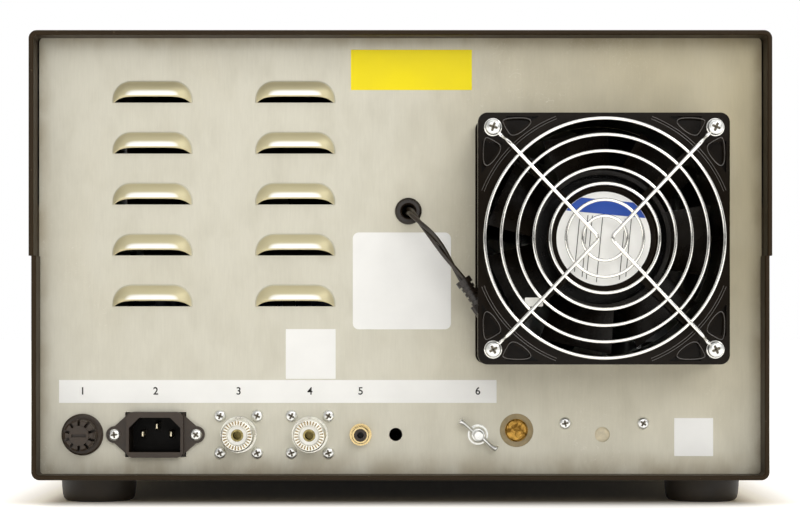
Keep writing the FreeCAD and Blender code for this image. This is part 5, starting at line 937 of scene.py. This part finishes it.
class AMPLIFIER_OT_sockets(AmplifierOperator, bpy.types.Operator):
    """Turn the two threaded coaxial sockets with their notched faces"""

    bl_idname = "amplifier.sockets"
    bl_label = "Coaxial sockets"

    thread = (1.0 * MM, 10.4 * MM)
    thread_depth = 0.6 * MM
    radius = 7.94 * MM
    notch_depth = 0.9 * MM
    face_profile = np.array([
        (5.05, 3.0), (5.05, 11.3), (5.1, 11.45), (5.2, 11.5), (5.4, 11.5), (6.1, 11.5), (6.9, 11.5),
        (7.1, 11.5), (7.3, 11.45), (7.5, 11.25), (7.6, 10.9), (7.94, 10.4)]) * MM
    rubbed_profile = ((5.15, 10.5), (5.15, 10.8), (7.05, 10.8), (7.05, 10.5), (5.15, 10.5))

    def threaded(self, pitch):
        """Radius falls from the crest by a rounded V that climbs one pitch in a turn."""
        height = np.linspace(*self.thread, 100)[:, None]
        turn = full_turn(60)[None]
        phase = (height / pitch - turn / (2 * np.pi)) % 1.0
        groove = np.abs(phase * 2 - 1) ** 0.8
        run_out = smooth_step(0, pitch, height - self.thread[0]) * smooth_step(
            0, pitch, self.thread[1] - height)
        radius = self.radius - self.thread_depth * (1 - groove) * run_out
        return round_grid(radius, height, turn), False, True

    def face(self, notches):
        """A ring from the bore to the thread; its inner half sinks in evenly spaced notches."""
        turn = full_turn(notches * 12)[None]
        radius, height = self.face_profile[:, :1], self.face_profile[:, 1:]
        tooth = smooth_step(0.15, 0.45, np.cos(turn * notches) * 0.5 + 0.5)
        outer = smooth_step(5.2 * MM, 5.4 * MM, radius) * (1 - smooth_step(6.9 * MM, 7.1 * MM, radius))
        height = height - self.notch_depth * (1 - tooth) * outer * (height > 10.8 * MM)
        return round_grid(radius, height, turn), False, True

    def make(self, sizes):
        z = sizes.connector_z
        for name, x in zip(("input", "output"), SOCKETS_X):
            node = "rf_%s_socket" % name
            behind = rest_of(node, lambda middle: middle.y > REAR_FACE - 0.99 * MM)
            shoulder = lathe([(8.9, 0.9), (8.9, 1.0), (7.9, 1.0)])
            shapes = self.threaded(sizes.thread_pitch), self.face(sizes.ring_notches), shoulder
            front = [on_rear(shape, x, z) for shape in shapes]
            add_piece("threaded_%s_socket" % name, joined(node, [behind, mesh_of(node, front, 40)]),
                      "satin_nickel_plate", [node])
            add_piece("rubbed_%s_ring" % name, [on_rear(lathe(self.rubbed_profile), x, z)],
                      "rubbed_brass", sharp=40)


class AMPLIFIER_OT_wing_nut(AmplifierOperator, bpy.types.Operator):
    """Cast the wing nut with its two swept wings"""

    bl_idname = "amplifier.wing_nut"
    bl_label = "Wing nut"

    hub_profile = ((2.55, 1.0), (4.2, 1.0), (4.25, 1.6), (3.95, 3.4), (3.5, 5.6), (3.25, 6.3),
                   (2.9, 6.5), (2.55, 6.5), (2.55, 1.0))

    def wing(self, side):
        """An oval carried along an upswept curve, thick at the hub, flared at the tip, closed at both."""
        t = np.linspace(0, 1, 32)
        path = np.stack([side * (2.4 + 9.3 * t), -side * 0.9 * np.sin(np.pi * t) * t,
                         3.7 + 2.0 * t ** 1.6], 1) * MM
        swell = np.sqrt(np.clip(1 - np.clip((t - 0.88) / 0.12, 0, 1) ** 2, 0, 1))
        tall = (2.3 + 0.9 * t) * swell * MM
        thick = (1.5 - 2.2 * t + 2.7 * t ** 2) * np.maximum(swell, 0.05) * MM
        a = full_turn(24)[None]
        grid = np.stack([np.broadcast_to(path[:, :1], (32, 24)),
                         path[:, 1:2] + thick[:, None] * np.sin(a),
                         path[:, 2:] + tall[:, None] * np.cos(a)], -1)
        tips = [grid[:1] * 0 + path[end] for end in (0, -1)]
        return np.concatenate([tips[0], grid, tips[1]]), False, True

    def make(self, sizes):
        turn = math.degrees(sizes.wing_turn)
        shapes = [on_rear(turned(shape, turn), EARTH_X, sizes.connector_z)
                  for shape in (lathe(self.hub_profile, 48), self.wing(-1), self.wing(1))]
        add_piece("cast_wing_nut", shapes, "bright_zinc_screw", ["wing_nut"],
                  "wing_nut", sharp=50)


class AMPLIFIER_OT_labels(AmplifierOperator, bpy.types.Operator):
    """Stick the blank labels and the numbered strip on the rear panel"""

    bl_idname = "amplifier.labels"
    bl_label = "Labels"

    # Name, left, right, low, high and corner radius in millimetres, then its finish.
    plates = (
        ("top_label", -24.3, 35.1, 203.1, 222.9, 0.3, "yellow_vinyl"),
        ("data_label", -23.4, 24.8, 85.6, 133.2, 3.0, "white_vinyl"),
        ("square_label", -56.3, -31.8, 61.3, 85.8, 0.3, "white_vinyl"),
        ("number_strip", -167.6, 47.2, 49.5, 60.8, 0.2, "white_vinyl"),
        ("corner_label", 134.4, 153.5, 23.4, 42.1, 0.3, "white_vinyl"),
    )
    numbered = (-156.0, -120.1, -79.4, -44.4, -19.5, 38.0)
    numbers_z = 55.2 * MM
    # How far the printed numbers stand from the panel.
    print_height = 0.19 * MM

    def make(self, sizes):
        for number, (name, left, right, low, high, corner, made_of) in enumerate(self.plates):
            # Each label is a little thicker than the one before, so that no two faces meet in one plane.
            gauge = sizes.label_gauge * (1 + 0.1 * number)
            shape = rounded_plate((right - left) * MM, (high - low) * MM, corner * MM, gauge)
            placed = on_rear(shape, (left + right) / 2 * MM, (low + high) / 2 * MM, 0.01 * MM)
            add_piece(name, [placed], made_of)
        meshes = [self.numeral(str(number), x * MM, sizes) for number, x in enumerate(self.numbered, 1)]
        add_piece("strip_numbers", joined("strip_numbers", meshes), "black_print")

    def numeral(self, word, x, sizes):
        """A number as flat print standing a hair above the strip."""
        text = bpy.data.curves.new("numeral", "FONT")
        text.body = word
        text.size = sizes.numeral_height * 1.4
        text.align_x = "CENTER"
        text.align_y = "CENTER"
        text.extrude = 0.02 * MM
        text.offset = 0.07 * MM
        mesh = mesh_from(text)
        placed = on_rear((places_of(mesh),), x, self.numbers_z, self.print_height)[0]
        mesh.vertices.foreach_set("co", placed.ravel())
        return mesh


class AMPLIFIER_OT_fan_details(AmplifierOperator, bpy.types.Operator):
    """Stick the plain two-colour disc on the fan's hub, fix the pale block on a strut and rib the frame"""

    bl_idname = "amplifier.fan_details"
    bl_label = "Fan details"

    # All in millimetres. The disc lies half a strut's depth below the fan's outer face.
    radius = 22.3
    gauge = 0.12
    level = 36.0
    chords = (11.6, 18.4)
    lean = -5.5
    rule_places = (-12.2, -8.4, -6.3, -1.4, 9.3, 12.2)
    block_place = (-33.0, -30.0, -0.05)
    pocket = ((48.4, 57.0), (31.0, 57.0), (42.9, 46.9), (47.0, 53.0))
    mouth_arcs = (60.8, 62.0)
    rib = 0.32
    rib_level = -0.1

    def make(self, sizes):
        disc = lathe([(0, 0), (self.radius, 0), (self.radius, self.gauge), (0, self.gauge)], 72)
        block = rounded_plate(8.6 * MM, 4.2 * MM, 0.5 * MM, 1.6 * MM)
        block = moved(block, np.array(self.block_place) * MM)
        rules = [self.rule(x) for x in self.rule_places]
        hub = self.level * MM
        face = REAR_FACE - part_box("fan_frame")[0].y
        for name, shapes, made_of, slot, height, sharp in (
            ("hub_disc", [disc], "white_vinyl", "black_moulding", hub, 30),
            ("hub_band", [turned(self.band(), self.lean)], "blue_print", "black_moulding", hub, 30),
            ("hub_rules", [turned(rule, self.lean) for rule in rules], "black_print", "black_moulding",
             hub, 30),
            ("strut_block", [block], "waxy_white_insulator", "white_insulator", hub, 30),
            # The pocket rims are paler and glossier than the frame, a painted highlight.
            ("frame_ribs", self.ribs(), "painted_highlight_polyester", "black_moulding", face, 60),
        ):
            placed = [on_rear(shape, sizes.fan_x, sizes.fan_z, height) for shape in shapes]
            add_piece(name, placed, made_of, sharp=sharp)

    def ribs(self):
        """The rounded rims of the eight corner pockets and the two arcs round the duct's mouth.

        A rim is a closed outline whose corners are cut three times, at a quarter and three quarters
        of each side. The others are its mirror images, and the same with x and y swapped."""
        outline = np.array(self.pocket) * MM
        for _ in range(3):
            after = np.roll(outline, -1, 0)
            outline = np.stack([0.75 * outline + 0.25 * after, 0.25 * outline + 0.75 * after], 1)
            outline = outline.reshape(-1, 2)
        turn = np.radians(np.linspace(21.5, 68.5, 25))
        paths = [(outline, True), (outline[:, ::-1], True)]
        paths += [(np.stack([np.cos(turn), np.sin(turn)], 1) * radius * MM, False)
                  for radius in self.mouth_arcs]
        ribs = []
        for sides in QUADRANTS:
            for path, closed in paths:
                path = np.column_stack([path * sides, np.full(len(path), self.rib_level * MM)])
                ribs.append(tube(path, self.rib * MM * (1.0 if closed else 0.8), 8, closed))
        return ribs

    def band(self):
        """The part of the disc between two chords: rows from the lower one to the upper one, each
        as wide as the circle is at its height."""
        radius = (self.radius - 0.15) * MM
        height = np.linspace(*self.chords, 24) * MM
        half = np.sqrt(radius ** 2 - height ** 2)[:, None]
        gauge = self.gauge * MM
        level = np.array([0.9, 1.5, 1.5, 0.9, 0.9])[None] * gauge
        x = half * np.array([-1.0, -1.0, 1.0, 1.0, -1.0])[None]
        rows = np.stack([x, np.broadcast_to(height[:, None], x.shape), np.broadcast_to(level, x.shape)], -1)
        ends = [rows[side] * (1, 1, 0) + (0, 0, 0.9 * gauge) for side in (slice(0, 1), slice(-1, None))]
        return np.concatenate([ends[0], rows, ends[1]]), False, False

    def rule(self, x):
        """A thin printed line from the band down to the disc's edge."""
        low = -math.sqrt((self.radius - 1.5) ** 2 - x ** 2)
        high = self.chords[0] - 1.2
        plate = rounded_plate(0.35 * MM, (high - low) * MM, 0.1 * MM, self.gauge * MM * 0.6, 3)
        return moved(plate, np.array((x, (high + low) / 2, 0.9 * self.gauge)) * MM)


class AMPLIFIER_OT_small_fittings(AmplifierOperator, bpy.types.Operator):
    """Turn the feet, the inlet's blades and the ring round the brass bush"""

    bl_idname = "amplifier.small_fittings"
    bl_label = "Feet, blades and ring"

    foot_across = 151.5 * MM
    foot_along = (-132.5 * MM, 147.5 * MM)
    # A slightly tapered barrel with a wide round at its floor edge and a sunk middle.
    foot_profile = ((0, 12.5), (18.6, 12.5), (18.7, 11.5), (18.5, 7.0), (18.1, 3.4), (17.6, 1.5),
                    (16.7, 0.4), (15.6, 0.0), (9.0, 0.0), (8.2, 0.6), (7.6, 3.0), (0, 3.2))
    ring_profile = ((5.6, -1.4), (5.7, -0.9), (6.2, -0.7), (8.2, -0.6), (8.2, -1.4))
    ring_place = (57.0 * MM, 36.0 * MM)
    # Width, height and reach of a blade, row by row, and the middles of the three.
    blade_rows = np.array([(2.0, 4.0, -15.0), (2.0, 4.0, -5.5), (1.8, 3.7, -4.8), (1.4, 3.1, -4.3),
                           (0.7, 2.2, -4.0), (0.0, 0.0, -3.95)]) * MM
    blade_places = ((-7.0, 0.0), (7.0, 0.0), (0.0, 3.9))

    def make(self, sizes):
        feet = [moved(lathe(self.foot_profile, 80), (side * self.foot_across, y, 0))
                for side in (-1, 1) for y in self.foot_along]
        add_piece("turned_feet", feet, "moulded_black_rubber", ["rubber_feet"], sharp=35)
        blades = [on_rear(self.blade(), INLET_X + x * MM, sizes.connector_z + z * MM)
                  for x, z in self.blade_places]
        add_piece("inlet_blades", blades, "plated_contact_brass", ["inlet_pins"])
        add_piece("bush_ring", [on_rear(lathe(self.ring_profile), *self.ring_place)], "smoked_nylon",
                  sharp=40)

    def blade(self):
        """A flat blade: its rectangle narrows over the last millimetre and a half to a rounded tip."""
        rows = self.blade_rows
        a = full_turn(32)
        square = (np.abs(np.cos(a)) ** 8 + np.abs(np.sin(a)) ** 8) ** (-1 / 8)
        grid = np.stack([rows[:, :1] / 2 * square * np.cos(a), rows[:, 1:2] / 2 * square * np.sin(a),
                         np.broadcast_to(rows[:, 2:], (len(rows), len(a)))], -1)
        return np.concatenate([grid[:1] * (0, 0, 1), grid]), False, True


class AMPLIFIER_OT_dials(AmplifierOperator, bpy.types.Operator):
    """Print the meters' dials and the knobs' pointer lines and scales"""

    bl_idname = "amplifier.dials"
    bl_label = "Dials and pointers"

    floor = 2.0 * MM
    pivot_drop = 14.0 * MM
    meters = (-125.0 * MM, -50.0 * MM)
    meter_z = 172.0 * MM
    knob_top = 30.0 * MM
    face_drop = 0.4 * MM
    # Name, x, z, rim and skirt in millimetres, then the first and last tick in degrees and their count.
    knobs = (
        ("tune", 137.0, 107.0, 17.6, 24.5, (-90, 90, 11)),
        ("load", 62.0, 107.0, 17.6, 24.5, (-90, 90, 11)),
        ("band", 100.0, 187.0, 17.6, 24.5, (0, -150, 6)),
        ("meter", -50.0, 78.0, 10.6, 17.5, (-60, 60, 3)),
    )

    def make(self, sizes):
        plate = rounded_plate(57.6 * MM, 45.6 * MM, 0.5 * MM, 0.3 * MM)
        plates = [on_front(plate, x, self.meter_z, self.floor) for x in self.meters]
        add_piece("dial_plates", plates, "white_vinyl")
        marks = [on_front(strip, x, self.meter_z - self.pivot_drop, self.floor)
                 for x in self.meters for strip in self.scale()]
        add_piece("dial_marks", marks, "black_print")
        ticks = []
        for name, x, z, rim, skirt, angles in self.knobs:
            x, z = x * MM, z * MM
            self.knob_face(name, x, z, rim)
            ticks += [on_front(strip, x, z) for strip in self.knob_scale(skirt * MM, np.linspace(*angles))]
        add_piece("knob_scales", ticks, "white_vinyl")

    def knob_face(self, name, x, z, rim):
        """A dished face: level at the rim, then down by a rounded step to a flat that takes the line."""
        node = name + "_knob"
        body = name + "_control"
        around = rest_of(node, lambda middle: middle.y < FRONT_FACE + self.knob_top - 0.01 * MM)
        dish = lathe([(0, -0.4), (rim - 1.4, -0.4), (rim - 0.9, -0.3), (rim - 0.5, -0.02), (rim, 0)], 96)
        face = mesh_of(node, [on_front(dish, x, z, self.knob_top)], 40)
        if face.polygons[0].normal.y < 0:
            face.flip_normals()
        add_piece("dished_" + node, joined(node, [around, face]), "polished_black_phenolic",
                  [node], body)
        rim *= MM
        line = moved(rounded_plate(1.3 * MM, rim * 0.72, 0.4 * MM, 0.2 * MM, 4), (0, rim * 0.52, 0))
        add_piece(name + "_pointer", [on_front(line, x, z, self.knob_top - self.face_drop)],
                  "white_vinyl", body=body)

    def arc(self, inner, outer, span, low=0.3 * MM):
        """A thin strip between two radii: x is r sin a and y is r cos a. Its ends shrink to a point."""
        radius = np.array([inner, outer, outer, inner])[:, None]
        level = low + np.array([0.0, 0.0, 0.06, 0.06])[:, None] * MM
        grid = np.stack([radius * np.sin(span), radius * np.cos(span), level + 0 * span], -1)
        return shut_ends(grid), True, False

    def scale(self):
        """An arc and eleven ticks about the needle's pivot, over a quarter turn."""
        strips = [self.arc(29.0 * MM, 29.4 * MM, np.linspace(-np.pi / 4, np.pi / 4, 33))]
        for number in range(11):
            outer = (32.4 if number % 5 == 0 else 31.0) * MM
            span = np.linspace(-0.009, 0.009, 3) + (number - 5) * np.pi / 20
            strips.append(self.arc(29.4 * MM, outer, span))
        return strips

    def knob_scale(self, skirt, angles):
        """Ticks on the panel round a knob, at its pointer's places; every fifth one is longer."""
        width = 0.3 * MM / skirt
        return [self.arc(skirt, skirt + (3.6 if number % 5 == 0 else 2.4) * MM,
                         math.radians(degrees) + np.linspace(-width, width, 3), 0.02 * MM)
                for number, degrees in enumerate(angles)]


OPERATORS = (
    AMPLIFIER_OT_finishes,
    AMPLIFIER_OT_stage,
    AMPLIFIER_OT_lead,
    AMPLIFIER_OT_panel,
    AMPLIFIER_OT_guard,
    AMPLIFIER_OT_fasteners,
    AMPLIFIER_OT_sockets,
    AMPLIFIER_OT_wing_nut,
    AMPLIFIER_OT_labels,
    AMPLIFIER_OT_fan_details,
    AMPLIFIER_OT_small_fittings,
    AMPLIFIER_OT_dials,
)


class AMPLIFIER_PT_panel(bpy.types.Panel):
    bl_label = "Linear amplifier"
    bl_idname = "AMPLIFIER_PT_panel"
    bl_space_type = "VIEW_3D"
    bl_region_type = "UI"
    bl_category = "Amplifier"

    def draw(self, context):
        for group in (context.scene.amplifier_sizes, context.scene.amplifier_colours):
            for name in group.__annotations__:
                self.layout.prop(group, name)
        for operator in OPERATORS:
            self.layout.operator(operator.bl_idname)


CLASSES = (AMPLIFIER_PG_sizes, AMPLIFIER_PG_colours, *OPERATORS, AMPLIFIER_PT_panel)


def register():
    for made in CLASSES:
        bpy.utils.register_class(made)
    bpy.types.Scene.amplifier_sizes = bpy.props.PointerProperty(type=AMPLIFIER_PG_sizes)
    bpy.types.Scene.amplifier_colours = bpy.props.PointerProperty(type=AMPLIFIER_PG_colours)


def unregister():
    del bpy.types.Scene.amplifier_colours
    del bpy.types.Scene.amplifier_sizes
    for made in reversed(CLASSES):
        bpy.utils.unregister_class(made)


def corners(box):
    """A box's two corners as plain lists."""
    return [[float(value) for value in corner] for corner in box]


def main():
    register()
    for operator in OPERATORS:
        group, name = operator.bl_idname.split(".")
        getattr(getattr(bpy.ops, group), name)()


if __name__ == "__main__":
    main()
